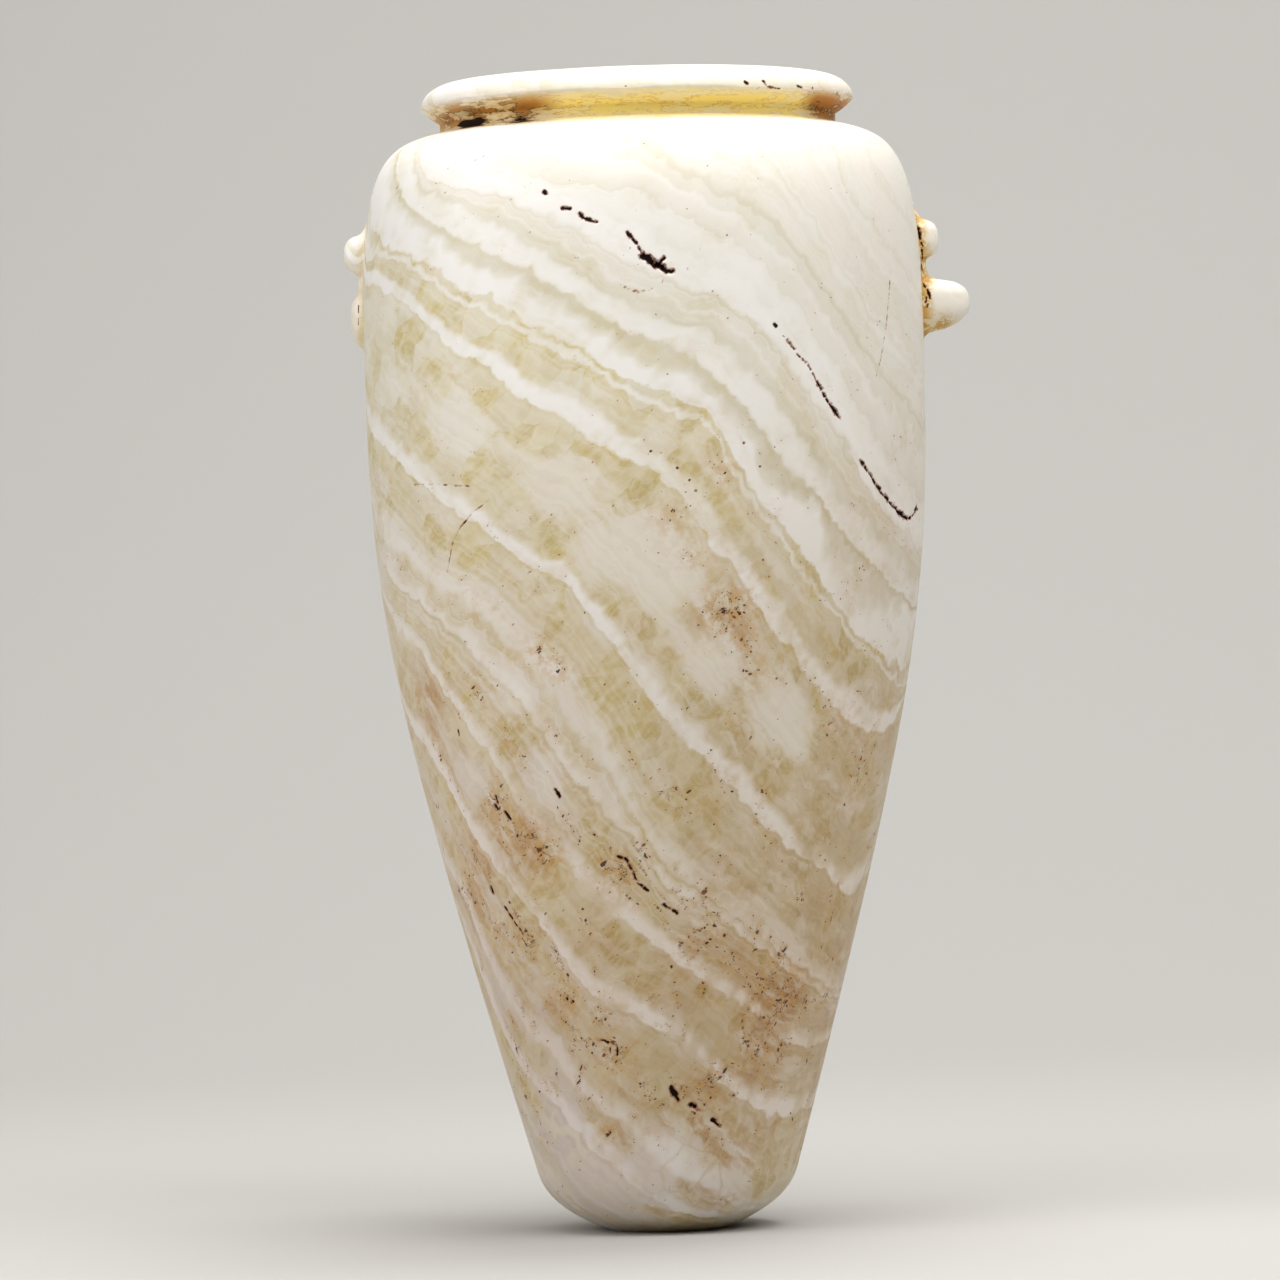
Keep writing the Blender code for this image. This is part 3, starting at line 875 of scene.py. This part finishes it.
def between(value, low, high, soft):
    """1 between low and high, fading to 0 over soft on either side."""
    rise = np.clip((value - low) / soft + 0.5, 0.0, 1.0)
    return rise * np.clip((high - value) / soft + 0.5, 0.0, 1.0)


radius = np.hypot(x, y)
front = y < 0
in_groove = np.exp(-((z - GROOVE_HEIGHT_MM) / GROOVE_SPREAD_MM) ** 2)
in_groove *= np.clip((1000 * LIP_TIP.x + 0.6 - radius) / 1.5, 0.0, 1.0) * (radius > 1000 * BORE_RADIUS + 4)
level = np.exp(-((z - GROOVE_HEIGHT_MM) / LEVEL_SPREAD_MM) ** 4)
crust = in_groove * (0.45 + 0.55 * between(x, *CRUST_SPAN_MM) * front)
brown_left, brown_right = (between(x, *span) for span in BROWN_SPANS_MM)
browned = in_groove * front * np.maximum(brown_left, 1.2 * brown_right)
soot_end, soot_tail = (between(x, *span) for span in SOOT_SPANS_MM)
soot = front * np.maximum(soot_end, 0.7 * soot_tail)
soot_low, soot_high = (GROOVE_HEIGHT_MM - drop for drop in SOOT_DROPS_MM)
soot *= (in_groove > 0.1) * between(z, soot_low, soot_high, 2.0)
corner_gap = np.array([corner_tree.find(Vector(p))[2] for p in places]) / MM
lug_dirt = np.clip(1.0 - corner_gap / LUG_DIRT_REACH_MM, 0.0, 1.0) * np.where(x > 0, 1.0, FAR_LUG_DIRT)
knob_gap = np.sqrt(((mm - np.array(KNOB_UNDERSIDE_MM)) ** 2).sum(axis=1))
lug_dirt = np.maximum(lug_dirt, 0.9 * np.exp(-(knob_gap / KNOB_DIRT_REACH_MM) ** 2))
browned = np.maximum(browned, lug_dirt * 0.75)
crust = np.maximum(crust, 0.8 * np.clip(1.3 * lug_dirt, 0.0, 1.0))
print("points in the groove:", int((in_groove > 0.5).sum()))
print("points near a lug corner:", int((lug_dirt > 0.1).sum()))

# %% The finished piece
SHARP_ANGLE = math.radians(60.0)
vessel = object_of("carved_vessel", stone)
fields = {
    "layer_depth": depth, "swell": swell, "clouds": clouds, "patchy": patchy, "blot": blot,
    "specks": specks, "stain": stain, "milk": milk, "glassy": glassy, "tan": tan, "rosy": rosy,
    "aged": aged, "mosaic": mosaic, "crust": crust, "browned": browned, "soot": soot, "level": level,
}
for name, values in fields.items():
    field = vessel.data.attributes.new(name, "FLOAT", "POINT")
    field.data.foreach_set("value", values.astype(np.float32))
shaken_field = vessel.data.attributes.new("shaken", "FLOAT_VECTOR", "POINT")
shaken_field.data.foreach_set("vector", shaken.astype(np.float32).ravel())
vessel.data.shade_smooth()
vessel.data.set_sharp_from_angle(angle=SHARP_ANGLE)
vessel.data.calc_loop_triangles()
print("triangles in the piece:", len(vessel.data.loop_triangles))
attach(vessel, "root")
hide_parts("vessel")

# %% [markdown]
# ## Short helpers for nodes
#
# A node material is a list of small sums. `add_node` makes a node and plugs in either a number or another
# node's output, and `calc` does one step of arithmetic. With these two, a formula on paper turns into
# nodes line by line. Colours are written as a painter reads them off a swatch, from 0 to 255.

# %% Node helpers
material = bpy.data.materials.new("banded_calcite")
material.use_nodes = True
tree = material.node_tree
shader = tree.nodes["Principled BSDF"]


def swatch(red, green, blue):
    """A colour from 0 to 255 as the linear colour that a shader wants."""
    def linear(value):
        share = value / 255.0
        return share / 12.92 if share <= 0.04045 else ((share + 0.055) / 1.055) ** 2.4
    return (linear(red), linear(green), linear(blue), 1.0)


def add_node(kind, inputs=None, **settings):
    """A new node, with its settings made and its inputs set or linked."""
    made = tree.nodes.new(kind)
    for key, value in settings.items():
        setattr(made, key, value)
    for key, value in (inputs or {}).items():
        if isinstance(value, bpy.types.NodeSocket):
            tree.links.new(value, made.inputs[key])
        else:
            made.inputs[key].default_value = value
    return made


def calc(operation, a, b=0.0, c=0.0, clamp=False):
    """One step of arithmetic."""
    made = add_node("ShaderNodeMath", {0: a, 1: b, 2: c}, operation=operation, use_clamp=clamp)
    return made.outputs[0]


def times(a, *others):
    """The product of several numbers or outputs."""
    for b in others:
        a = calc("MULTIPLY", a, b)
    return a


def ramp_to(value, start, end, low=0.0, high=1.0):
    """A smooth step: low at start, high at end, and held outside."""
    made = add_node(
        "ShaderNodeMapRange",
        {"Value": value, "From Min": start, "From Max": end, "To Min": low, "To Max": high},
        interpolation_type="SMOOTHSTEP",
    )
    return made.outputs["Result"]


def mix(share, under, over, how="MIX"):
    """Paints one colour over another by a share, or multiplies it on like a glaze."""
    made = add_node("ShaderNodeMix", {0: share, 6: under, 7: over}, data_type="RGBA", blend_type=how)
    return made.outputs[2]


def field_of(name):
    """The value of a field stored on the mesh."""
    return add_node("ShaderNodeAttribute", attribute_name=name).outputs["Fac"]


def parts_of(colour):
    """The three channels of a colour, which a cell pattern fills with random numbers."""
    return add_node("ShaderNodeSeparateColor", {"Color": colour}).outputs


position = add_node("ShaderNodeTexCoord").outputs["Object"]
in_mm = add_node("ShaderNodeVectorMath", {0: position, "Scale": 1000.0}, operation="SCALE").outputs[0]


def stretched(space, shares):
    """A space scaled along its three axes: a small share draws a pattern out along that axis."""
    return add_node("ShaderNodeVectorMath", {0: space, 1: shares}, operation="MULTIPLY").outputs[0]


def lumps(size_mm, detail=2.0, rough=0.5, where=None):
    """Noise from 0 to 1 with lumps of a size in millimetres."""
    made = add_node(
        "ShaderNodeTexNoise",
        {"Vector": where or in_mm, "Scale": 1.0 / size_mm, "Detail": detail, "Roughness": rough},
    )
    return made.outputs["Fac"]


def crystals(size_mm, where=None, feature="F1"):
    """Cells of a size in millimetres: the whole node, for its distance and its colour."""
    return add_node(
        "ShaderNodeTexVoronoi", {"Vector": where or in_mm, "Scale": 1.0 / size_mm}, feature=feature
    )


# %% [markdown]
# ## Bands with scalloped edges
#
# The white seams aren't ruled lines. Crystals grew on them in small domes, so their lower edges are
# scalloped every 4 mm or so. A cell pattern gives the domes: its distance, multiplied by itself, is round
# at the middle of a cell and sharp where two cells meet. The cells are drawn out along the growth
# direction, so the upper and lower edge of one seam carry the same domes.

# %% Turn to the layers and ruffle the depth
LAYER_TURN = Vector((1.15, -BACK_RISE, 1.0)).to_track_quat("Z", "Y").inverted().to_euler()
DOME_SIZE_MM = 4.6
DOME_MM = 2.5
DOME_SHARES = (1.0, 1.0, 0.35)
TREMBLE_SIZE_MM = 1.9
TREMBLE_MM = 1.5
shaken_mm = add_node("ShaderNodeAttribute", attribute_name="shaken").outputs["Vector"]
turned = add_node(
    "ShaderNodeVectorRotate", {"Vector": shaken_mm, "Rotation": tuple(LAYER_TURN)}, rotation_type="EULER_XYZ"
).outputs[0]
layer = field_of("layer_depth")
tremble = calc("SUBTRACT", lumps(TREMBLE_SIZE_MM, 3.0, 0.55), 0.5)
dome_gap = crystals(DOME_SIZE_MM, stretched(turned, DOME_SHARES)).outputs["Distance"]
ruffled = calc("MULTIPLY_ADD", times(dome_gap, dome_gap), DOME_MM, layer)
ruffled = calc("MULTIPLY_ADD", tremble, TREMBLE_MM, ruffled)

# %% [markdown]
# ## Drawing the seams
#
# A seam is crisp on the side that it grew toward and fades on the other. So the distance to it is measured
# with two scales, one above and one below: `reach_above` and `reach_below` are how far it covers, in
# millimetres, and each edge has its own softness. The larger of the two results says where a point stands:
# below -1 it is inside the seam and above 1 outside.

# %% Draw the seams
DOME_OFFSET_MM = 0.75
UPPER_FADE = 2.2
WIDEST_FADE = 0.9
WHITE_SEAMS = {
    "grey_arc": (3.2, 4.2, 0.45, 0.5), "pitted_white": (5.0, 3.0, 0.9, 0.45),
    "soft_white": (2.8, 2.0, 0.85, 0.5), "upper_white": (3.4, 2.3, 1.0, 0.25),
    "thin_white": (0.7, 0.7, 0.7, 0.5), "second_white": (3.0, 2.0, 1.0, 0.28),
    "third_white": (3.0, 2.0, 1.0, 0.28), "milky_line": (3.8, 1.9, 0.75, 0.5),
    "broken_white": (2.0, 1.3, 0.75, 0.5), "speckled_white": (2.7, 1.7, 0.9, 0.35),
    "lower_white": (2.9, 1.7, 0.95, 0.3), "foot_white": (3.8, 2.1, 0.8, 0.5),
    "hidden_0": (2.6, 1.6, 0.9, 0.3), "hidden_2": (3.8, 2.1, 0.8, 0.5),
    "hidden_3": (1.3, 1.0, 0.9, 0.35), "hidden_5": (2.6, 1.6, 0.9, 0.3),
}
GREY_SEAMS = {
    "cap_edge": (2.4, 1.8, 0.30, 0.6), "grey_arc": (1.6, 1.2, 0.35, 0.6), "grey_line": (1.5, 1.2, 0.55, 0.7),
    "grey_patches": (2.2, 1.8, 0.5, 0.7), "hidden_1": (2.0, 1.6, 0.6, 0.6), "hidden_4": (2.0, 1.5, 0.6, 0.6),
}
swell = field_of("swell")


def drawn(seams):
    """How strongly any seam covers a point. A seam has its two reaches, a strength and a softness."""
    cover = 0.0
    for name, (reach_above, reach_below, strength, softness) in seams.items():
        past = calc("SUBTRACT", ruffled, float(seam_depths[name]) + DOME_OFFSET_MM)
        past = calc("DIVIDE", past, swell)
        fading = min(UPPER_FADE * softness, WIDEST_FADE)
        above = calc("MULTIPLY_ADD", past, -1.0 / (reach_above * fading), -1.0 / fading)
        below = calc("MULTIPLY_ADD", past, 1.0 / (reach_below * softness), -1.0 / softness)
        band = ramp_to(calc("MAXIMUM", above, below), 1.0, -1.0, 0.0, strength)
        cover = calc("MAXIMUM", cover, band)
    return cover


white_seams = times(drawn(WHITE_SEAMS), field_of("patchy"))
grey_seams = drawn(GREY_SEAMS)
print("nodes so far:", len(tree.nodes))

# %% [markdown]
# ## What lies between the seams
#
# Between two seams the stone is glassy and yellow-green, or milky, or tan. A Color Ramp over the depth
# says how much of each: its red channel stands for glass, green for tan, blue for milk, and alpha for how
# clearly the fine growth lines show. The ramp is a small chart here, and not a picture of the colour.

# %% Chart of the zones
ZONES = {
    "cap_edge": (0.15, 0.00, 0.75, 0.7), "grey_arc": (0.10, 0.00, 0.85, 0.8),
    "pitted_white": (0.22, 0.04, 0.65, 0.8), "grey_line": (0.30, 0.05, 0.55, 0.7),
    "soft_white": (0.32, 0.03, 0.60, 0.8), "grey_patches": (0.48, 0.03, 0.40, 0.6),
    "upper_white": (0.85, 0.03, 0.15, 0.5), "thin_white": (0.95, 0.03, 0.10, 0.3),
    "second_white": (0.75, 0.06, 0.35, 0.2), "third_white": (1.00, 0.04, 0.08, 0.3),
    "milky_line": (0.70, 0.12, 0.45, 0.8), "broken_white": (0.90, 0.25, 0.20, 0.5),
    "speckled_white": (0.90, 0.40, 0.18, 0.35), "lower_white": (0.90, 0.45, 0.18, 0.25),
    "foot_white": (0.70, 0.40, 0.40, 0.2), "hidden_0": (0.85, 0.25, 0.25, 0.4),
    "hidden_1": (0.45, 0.15, 0.55, 0.9), "hidden_2": (0.90, 0.12, 0.15, 0.4),
    "hidden_3": (0.60, 0.25, 0.35, 0.8), "hidden_4": (0.45, 0.35, 0.45, 0.6),
    "hidden_5": (0.55, 0.30, 0.45, 0.5),
}
CAP_ZONE = (0.02, 0.0, 1.0, 0.3)
CHART_TOP_MM = -40.0
CHART_BOTTOM_MM = float(seam_depths["hidden_5"]) + 20.0
chart_place = add_node(
    "ShaderNodeMapRange",
    {"Value": ruffled, "From Min": CHART_TOP_MM, "From Max": CHART_BOTTOM_MM, "To Min": 0.0, "To Max": 1.0},
).outputs["Result"]
chart = add_node("ShaderNodeValToRGB", {"Fac": chart_place})
stops = chart.color_ramp.elements
stops[0].position, stops[0].color = 0.0, CAP_ZONE
stops.remove(stops[1])
zone_names = list(ZONES)
for name, following in zip(zone_names, zone_names[1:] + [None]):
    below = seam_depths[following] if following else CHART_BOTTOM_MM
    centre = 0.5 * (float(seam_depths[name]) + float(below))
    stop = stops.new((centre - CHART_TOP_MM) / (CHART_BOTTOM_MM - CHART_TOP_MM))
    stop.color = ZONES[name]
glass_share, tan_share, milk_share = parts_of(chart.outputs["Color"])
line_share = chart.outputs["Alpha"]

# %% [markdown]
# ## Crystals, fibres and clouds
#
# The glassy zones are fans of crystals 8 mm wide that stand square to the layers, each a slightly different
# tone. So the space is turned until the layers lie flat, drawn out along the growth direction, and only
# then cut into cells. Smaller chips get a painted glint on their edges, fibres use the same space drawn
# out further, and clouds of milk with ragged edges drift over everything and break up the zones' straight
# edges.

# %% Mosaic, fibres, growth lines and clouds
FAN_SIZE_MM = 8.0
FAN_SHARES = (1.0, 1.0, 0.55)
CHIP_SIZE_MM = 4.2
FIBRE_SIZE_MM = 1.2
FIBRE_SHARES = (1.0, 1.0, 0.16)
GROWTH_SCALE = 0.45
SMALL_CLOUD_SIZE_MM = 4.2
MOSAIC_SIZE_MM = 11.0
fans = stretched(turned, FAN_SHARES)
fan_red, fan_green, fan_blue = parts_of(crystals(FAN_SIZE_MM, fans).outputs["Color"])
chips = crystals(CHIP_SIZE_MM, fans)
_, chip_green, chip_blue = parts_of(chips.outputs["Color"])
# Painted highlight: pale edges on the small cells, standing in for glints on crystal facets.
facet_glint = ramp_to(chips.outputs["Distance"], 0.42, 0.72)
fibres = ramp_to(lumps(FIBRE_SIZE_MM, 2.0, 0.6, stretched(turned, FIBRE_SHARES)), 0.36, 0.66)
growth = add_node(
    "ShaderNodeTexNoise", {"W": ruffled, "Scale": GROWTH_SCALE, "Detail": 2.0, "Roughness": 0.5},
    noise_dimensions="1D",
).outputs["Fac"]
growth_lines = ramp_to(growth, 0.44, 0.62)
growth_gaps = ramp_to(growth, 0.46, 0.30)
clouds = field_of("clouds")
shaken_x, shaken_y, _ = add_node("ShaderNodeSeparateXYZ", {0: shaken_mm}).outputs
along_x, along_y = times(shaken_x, ALONG_SHARE), times(shaken_y, ALONG_SHARE)
flow = add_node("ShaderNodeCombineXYZ", {"X": along_x, "Y": along_y, "Z": ruffled}).outputs[0]
small_clouds = ramp_to(lumps(SMALL_CLOUD_SIZE_MM, 4.0, 0.58, flow), 0.34, 0.64)
glass = times(glass_share, ramp_to(fan_red, 0.1, 0.9, 0.45, 1.3), calc("MULTIPLY_ADD", clouds, -0.5, 1.0))
glass = calc("MULTIPLY_ADD", field_of("glassy"), 0.7, glass, clamp=True)
milk_here = calc("MULTIPLY_ADD", milk_share, calc("MULTIPLY_ADD", clouds, 0.5, 0.15), field_of("milk"))
milk_here = calc("MULTIPLY_ADD", clouds, 0.30, milk_here)
milk_here = times(ramp_to(calc("MULTIPLY_ADD", small_clouds, 0.55, milk_here), 0.40, 1.15), 0.85)
tan_here = calc("MULTIPLY_ADD", field_of("tan"), 0.75, times(tan_share, fan_green))
tan_here = calc("MULTIPLY", tan_here, calc("MULTIPLY_ADD", small_clouds, -0.55, 0.95), clamp=True)
edge_gap = crystals(MOSAIC_SIZE_MM, shaken_mm, "DISTANCE_TO_EDGE").outputs["Distance"]
mosaic_lines = times(field_of("mosaic"), ramp_to(edge_gap, 0.07, 0.0))

# %% Paint the sound stone
CREAM = swatch(239, 235, 225)
GLASSY_GREEN = swatch(218, 200, 140)
DEEP_GLASS = swatch(192, 172, 110)
PALE_CRYSTAL = swatch(236, 228, 204)
MILK = swatch(241, 234, 222)
ROSY_SHADED_MILK = swatch(214, 199, 194)
TAN = swatch(196, 154, 100)
SEAM_WHITE = swatch(251, 248, 243)
ROSY_SHADED_WHITE = swatch(238, 227, 222)
SEAM_GREY = swatch(208, 198, 166)
# The brown that the painted shade on the lower wall is multiplied by.
LOW_SHADE_TINT = swatch(206, 182, 148)
# Painted shade: milk and white seams turn pinker and darker on the lower left.
rosy = field_of("rosy")
milky = mix(rosy, MILK, ROSY_SHADED_MILK)
colour = mix(glass, CREAM, GLASSY_GREEN)
colour = mix(times(glass, ramp_to(chip_green, 0.5, 1.0, 0.0, 0.32)), colour, DEEP_GLASS)
colour = mix(times(glass, ramp_to(fan_blue, 0.3, 0.9, 0.0, 0.45)), colour, DEEP_GLASS)
colour = mix(times(glass, ramp_to(chip_blue, 0.72, 0.95, 0.0, 0.65)), colour, PALE_CRYSTAL)
colour = mix(tan_here, colour, TAN)
colour = mix(times(fibres, calc("MULTIPLY_ADD", glass, 0.28, 0.06)), colour, PALE_CRYSTAL)
colour = mix(milk_here, colour, milky)
# Painted glint on the chips' edges.
colour = mix(times(facet_glint, glass, 0.55), colour, PALE_CRYSTAL)
colour = mix(times(growth_gaps, line_share, 0.40), colour, SEAM_GREY)
seam_white = mix(rosy, SEAM_WHITE, ROSY_SHADED_WHITE)
colour = mix(times(growth_lines, line_share, 0.55), colour, seam_white)
colour = mix(times(grey_seams, calc("MULTIPLY_ADD", small_clouds, 0.4, 0.5)), colour, SEAM_GREY)
colour = mix(white_seams, colour, seam_white)
colour = mix(times(mosaic_lines, 0.32), colour, TAN)
sound = calc("MAXIMUM", white_seams, milk_here)
# Painted shade on the lower wall, kept lighter on the white seams and the milk.
colour = mix(times(field_of("aged"), calc("MULTIPLY_ADD", sound, -0.45, 1.0)), colour, LOW_SHADE_TINT, "MULTIPLY")

# %% [markdown]
# ## Specks, stain and dirt
#
# Iron in the stone has leached out as brown dashes, thin crooked lines and warm halos. A dash is the middle
# of a small long cell, kept only where the specks field is stronger than the cell's own random number.
# The lines are the places where a noise passes through its middle value. One fine noise serves the lines,
# the halos and the dirt, which is cheaper and lets them meet as they do on the stone. Under the lip that
# noise is drawn out sideways, because dirt runs round a groove in level streaks.

# %% Dashes, crooked lines and halos
STAIN_ORANGE = swatch(202, 150, 70)
SPECK_BROWN = swatch(106, 64, 30)
SPECK_DARK = swatch(56, 34, 22)
FINE_SIZE_MM = 2.6
DASH_CELLS = (((0.38, 1.0, 1.0), 0.85), ((1.0, 1.0, 0.34), 1.15))
DARK_FROM = 0.62
across_share = calc("MULTIPLY_ADD", field_of("level"), -0.78, 1.0)
level_scale = add_node("ShaderNodeCombineXYZ", {"X": across_share, "Y": across_share, "Z": 1.0}).outputs[0]
fine = lumps(FINE_SIZE_MM, 5.0, 0.66, stretched(in_mm, level_scale))
crowding = times(field_of("specks"), ramp_to(fine, 0.36, 0.62, 0.15, 1.25))
dashes = 0.0
darker = 0.0
for shares, size_mm in DASH_CELLS:
    cells = crystals(size_mm, stretched(turned, shares))
    pick, size, tone = parts_of(cells.outputs["Color"])
    chosen = calc("LESS_THAN", pick, crowding)
    reach = calc("MULTIPLY_ADD", times(size, size, crowding), 0.60, 0.07)
    gap = calc("MULTIPLY_ADD", tremble, 0.5, cells.outputs["Distance"])
    dash = times(chosen, ramp_to(calc("SUBTRACT", gap, reach), 0.09, -0.05))
    dashes = calc("MAXIMUM", dashes, dash)
    darker = calc("MAXIMUM", darker, times(dash, calc("GREATER_THAN", tone, DARK_FROM)))
line_gap = calc("ABSOLUTE", calc("SUBTRACT", fine, 0.5))
crooked = times(ramp_to(line_gap, 0.026, 0.005), ramp_to(crowding, 0.30, 0.60), ramp_to(tremble, -0.06, 0.06))
blot = field_of("blot")
halo = calc("MULTIPLY_ADD", blot, 0.45, field_of("stain"))
stained = calc("MULTIPLY", halo, ramp_to(fine, 0.40, 0.62), clamp=True)
colour = mix(times(stained, 0.85), colour, STAIN_ORANGE)
colour = mix(times(calc("MAXIMUM", dashes, crooked), 0.95), colour, SPECK_BROWN)
colour = mix(times(darker, 0.8), colour, SPECK_DARK)

# %% Crust, soot and the marks' dark cores
CRUST_GOLD = swatch(255, 232, 138)
CRUST_BROWN = swatch(192, 128, 54)
SOOT_DARK = swatch(40, 26, 20)
CORE_DARK = swatch(34, 22, 20)
CORE_RUST = swatch(150, 84, 44)
crusted = calc("MULTIPLY", field_of("crust"), ramp_to(fine, 0.30, 0.62, 0.45, 1.25), clamp=True)
colour = mix(crusted, colour, CRUST_GOLD)
colour = mix(times(crusted, ramp_to(line_gap, 0.020, 0.004), 0.45), colour, CRUST_BROWN)
browned = calc("MULTIPLY", field_of("browned"), ramp_to(fine, 0.36, 0.60, 0.25, 1.2), clamp=True)
colour = mix(browned, colour, CRUST_BROWN)
brown_lines = times(browned, ramp_to(line_gap, 0.030, 0.008), 0.85)
colour = mix(brown_lines, colour, SOOT_DARK)
sooty = ramp_to(calc("MULTIPLY_ADD", calc("SUBTRACT", fine, 0.5), 2.2, field_of("soot")), 0.66, 0.88)
colour = mix(sooty, colour, SOOT_DARK)
breaks = calc("MULTIPLY_ADD", calc("SUBTRACT", fine, 0.5), 1.3, blot)
blot_edge = calc("MULTIPLY_ADD", tremble, 1.5, breaks)
near_mark = ramp_to(blot, 0.03, 0.20)
colour = mix(times(ramp_to(blot_edge, 0.10, 0.46), near_mark, 0.8), colour, CORE_RUST)
core = times(ramp_to(blot_edge, 0.50, 0.64), near_mark)
colour = mix(core, colour, CORE_DARK)
tree.links.new(colour, shader.inputs["Base Color"])

# %% [markdown]
# ## Polish
#
# The jar has a soft worn polish, duller in its pits and where dirt sits. Light also enters real calcite and
# comes out a little way off. A subsurface value could show that, but it is slow, and at the size of this jar
# the soft edges of the painted layers already give the same look.

# %% Finish the shader
CALCITE_IOR = 1.50
shader.inputs["IOR"].default_value = CALCITE_IOR
dirt = calc("MAXIMUM", calc("MAXIMUM", sooty, core), times(crusted, 0.6))
roughness = calc("MULTIPLY_ADD", small_clouds, 0.10, 0.36)
roughness = calc("MULTIPLY_ADD", dirt, 0.40, roughness, clamp=True)
tree.links.new(calc("MULTIPLY_ADD", dirt, -0.4, 0.5), shader.inputs["Specular IOR Level"])
tree.links.new(roughness, shader.inputs["Roughness"])
vessel.data.materials.append(material)
print("nodes in the material:", len(tree.nodes))

# %% [markdown]
# ## A pale floor
#
# A plain pale sheet runs under the jar and curves up behind it, so no horizon cuts the picture. Its outline
# is a line of points that is drawn out sideways in one step.

# %% Floor
SHEET_WIDTH = 8.0
SHEET_FRONT = -3.0
SHEET_BACK = 1.6
SHEET_CURVE = 0.9
SHEET_TOP = 4.0
SHEET_CURVE_STEPS = 24
SHEET_PALE = swatch(188, 186, 182)
SHEET_ROUGHNESS = 0.9


def studio_sheet():
    """A floor that sweeps up into a backdrop."""
    bm = bmesh.new()
    line = [Vector((0.0, SHEET_FRONT, 0.0)), Vector((0.0, SHEET_BACK - SHEET_CURVE, 0.0))]
    for i in range(1, SHEET_CURVE_STEPS + 1):
        angle = QUARTER * i / SHEET_CURVE_STEPS
        line.append(Vector((
            0.0,
            SHEET_BACK - SHEET_CURVE + SHEET_CURVE * math.sin(angle),
            SHEET_CURVE * (1.0 - math.cos(angle)),
        )))
    line.append(Vector((0.0, SHEET_BACK, SHEET_TOP)))
    verts = [bm.verts.new(p - Vector((SHEET_WIDTH / 2, 0.0, 0.0))) for p in line]
    edges = [bm.edges.new(pair) for pair in zip(verts, verts[1:])]
    drawn_out = bmesh.ops.extrude_edge_only(bm, edges=edges)["geom"]
    moved = [g for g in drawn_out if isinstance(g, bmesh.types.BMVert)]
    bmesh.ops.translate(bm, verts=moved, vec=(SHEET_WIDTH, 0.0, 0.0))
    bmesh.ops.recalc_face_normals(bm, faces=bm.faces)
    return object_of("studio_floor", bm)


floor = studio_sheet()
floor.data.shade_smooth()
floor_material = bpy.data.materials.new("pale_sheet")
floor_material.use_nodes = True
floor_shader = floor_material.node_tree.nodes["Principled BSDF"]
floor_shader.inputs["Base Color"].default_value = SHEET_PALE
floor_shader.inputs["Roughness"].default_value = SHEET_ROUGHNESS
floor.data.materials.append(floor_material)

# %% [markdown]
# ## Soft light from high on both sides
#
# In the photograph the shoulder is nearly white and the wall darkens evenly toward the foot, with hardly
# any difference between left and right. Light from high up does that, if it comes from several sides. So
# five soft squares stand round the front on a dome, and one larger square behind keeps the sheet pale.

# %% Lights
AIM = Vector((0.0, 0.0, 0.17))
DOME_RADIUS = 1.15
SOFTBOX_SIZE = 0.7
SOFTBOXES = {
    "left_high": (-35, 50, 3.4), "left_side": (-70, 24, 4.1), "overhead": (0, 68, 4.3),
    "right_high": (35, 50, 5.0), "right_side": (70, 45, 2.5),
}
WARM_WHITE = (1.0, 0.995, 0.985)
SHEET_LIGHT_PLACE = Vector((0.3, 0.5, 2.4))
SHEET_LIGHT_AIM = Vector((0.0, 1.3, 0.3))
SHEET_LIGHT_SIZE = 1.4
SHEET_LIGHT_POWER = 45.0
WORLD_COLOUR = (1.0, 0.99, 0.97, 1.0)
WORLD_STRENGTH = 0.05


def soft_light(name, place, aim, size, power):
    """A square area light at a place, aimed at a point."""
    data = bpy.data.lights.new(name, "AREA")
    data.shape = "SQUARE"
    data.size = size
    data.energy = power
    data.color = WARM_WHITE
    made = bpy.data.objects.new(name, data)
    made.location = place
    made.rotation_euler = (aim - place).to_track_quat("-Z", "Y").to_euler()
    bpy.context.scene.collection.objects.link(made)


for name, (azimuth, elevation, power) in SOFTBOXES.items():
    turn, rise = math.radians(azimuth), math.radians(elevation)
    out = Vector((math.sin(turn) * math.cos(rise), -math.cos(turn) * math.cos(rise), math.sin(rise)))
    soft_light(name, AIM + DOME_RADIUS * out, AIM, SOFTBOX_SIZE, power)
soft_light("sheet_light", SHEET_LIGHT_PLACE, SHEET_LIGHT_AIM, SHEET_LIGHT_SIZE, SHEET_LIGHT_POWER)
world = bpy.data.worlds.new("studio_world")
world.use_nodes = True
background = world.node_tree.nodes["Background"]
background.inputs["Color"].default_value = WORLD_COLOUR
background.inputs["Strength"].default_value = WORLD_STRENGTH
bpy.context.scene.world = world
bpy.context.scene.view_settings.view_transform = "Standard"
print("lights:", len(SOFTBOXES) + 1)

# %% [markdown]
# ## The camera
#
# The photograph was taken level with the jar's middle, from about two metres, and its frame leans a little.
# The lens follows from how much width the frame takes in at the jar.

# %% Camera
SENSOR_WIDTH_MM = 36.0
CAMERA_DISTANCE = 1.9014
CAMERA_HEIGHT = 0.1639
CAMERA_SIDE = -0.0035
FRAME_WIDTH = 0.3573
FRAME_LEAN = math.radians(1.667)
camera_data = bpy.data.cameras.new("camera")
camera_data.sensor_width = SENSOR_WIDTH_MM
camera_data.lens = SENSOR_WIDTH_MM * CAMERA_DISTANCE / FRAME_WIDTH
camera = bpy.data.objects.new("camera", camera_data)
camera.location = (CAMERA_SIDE, -CAMERA_DISTANCE, CAMERA_HEIGHT)
camera.rotation_euler = (QUARTER, FRAME_LEAN, 0.0)
bpy.context.scene.collection.objects.link(camera)
bpy.context.scene.camera = camera
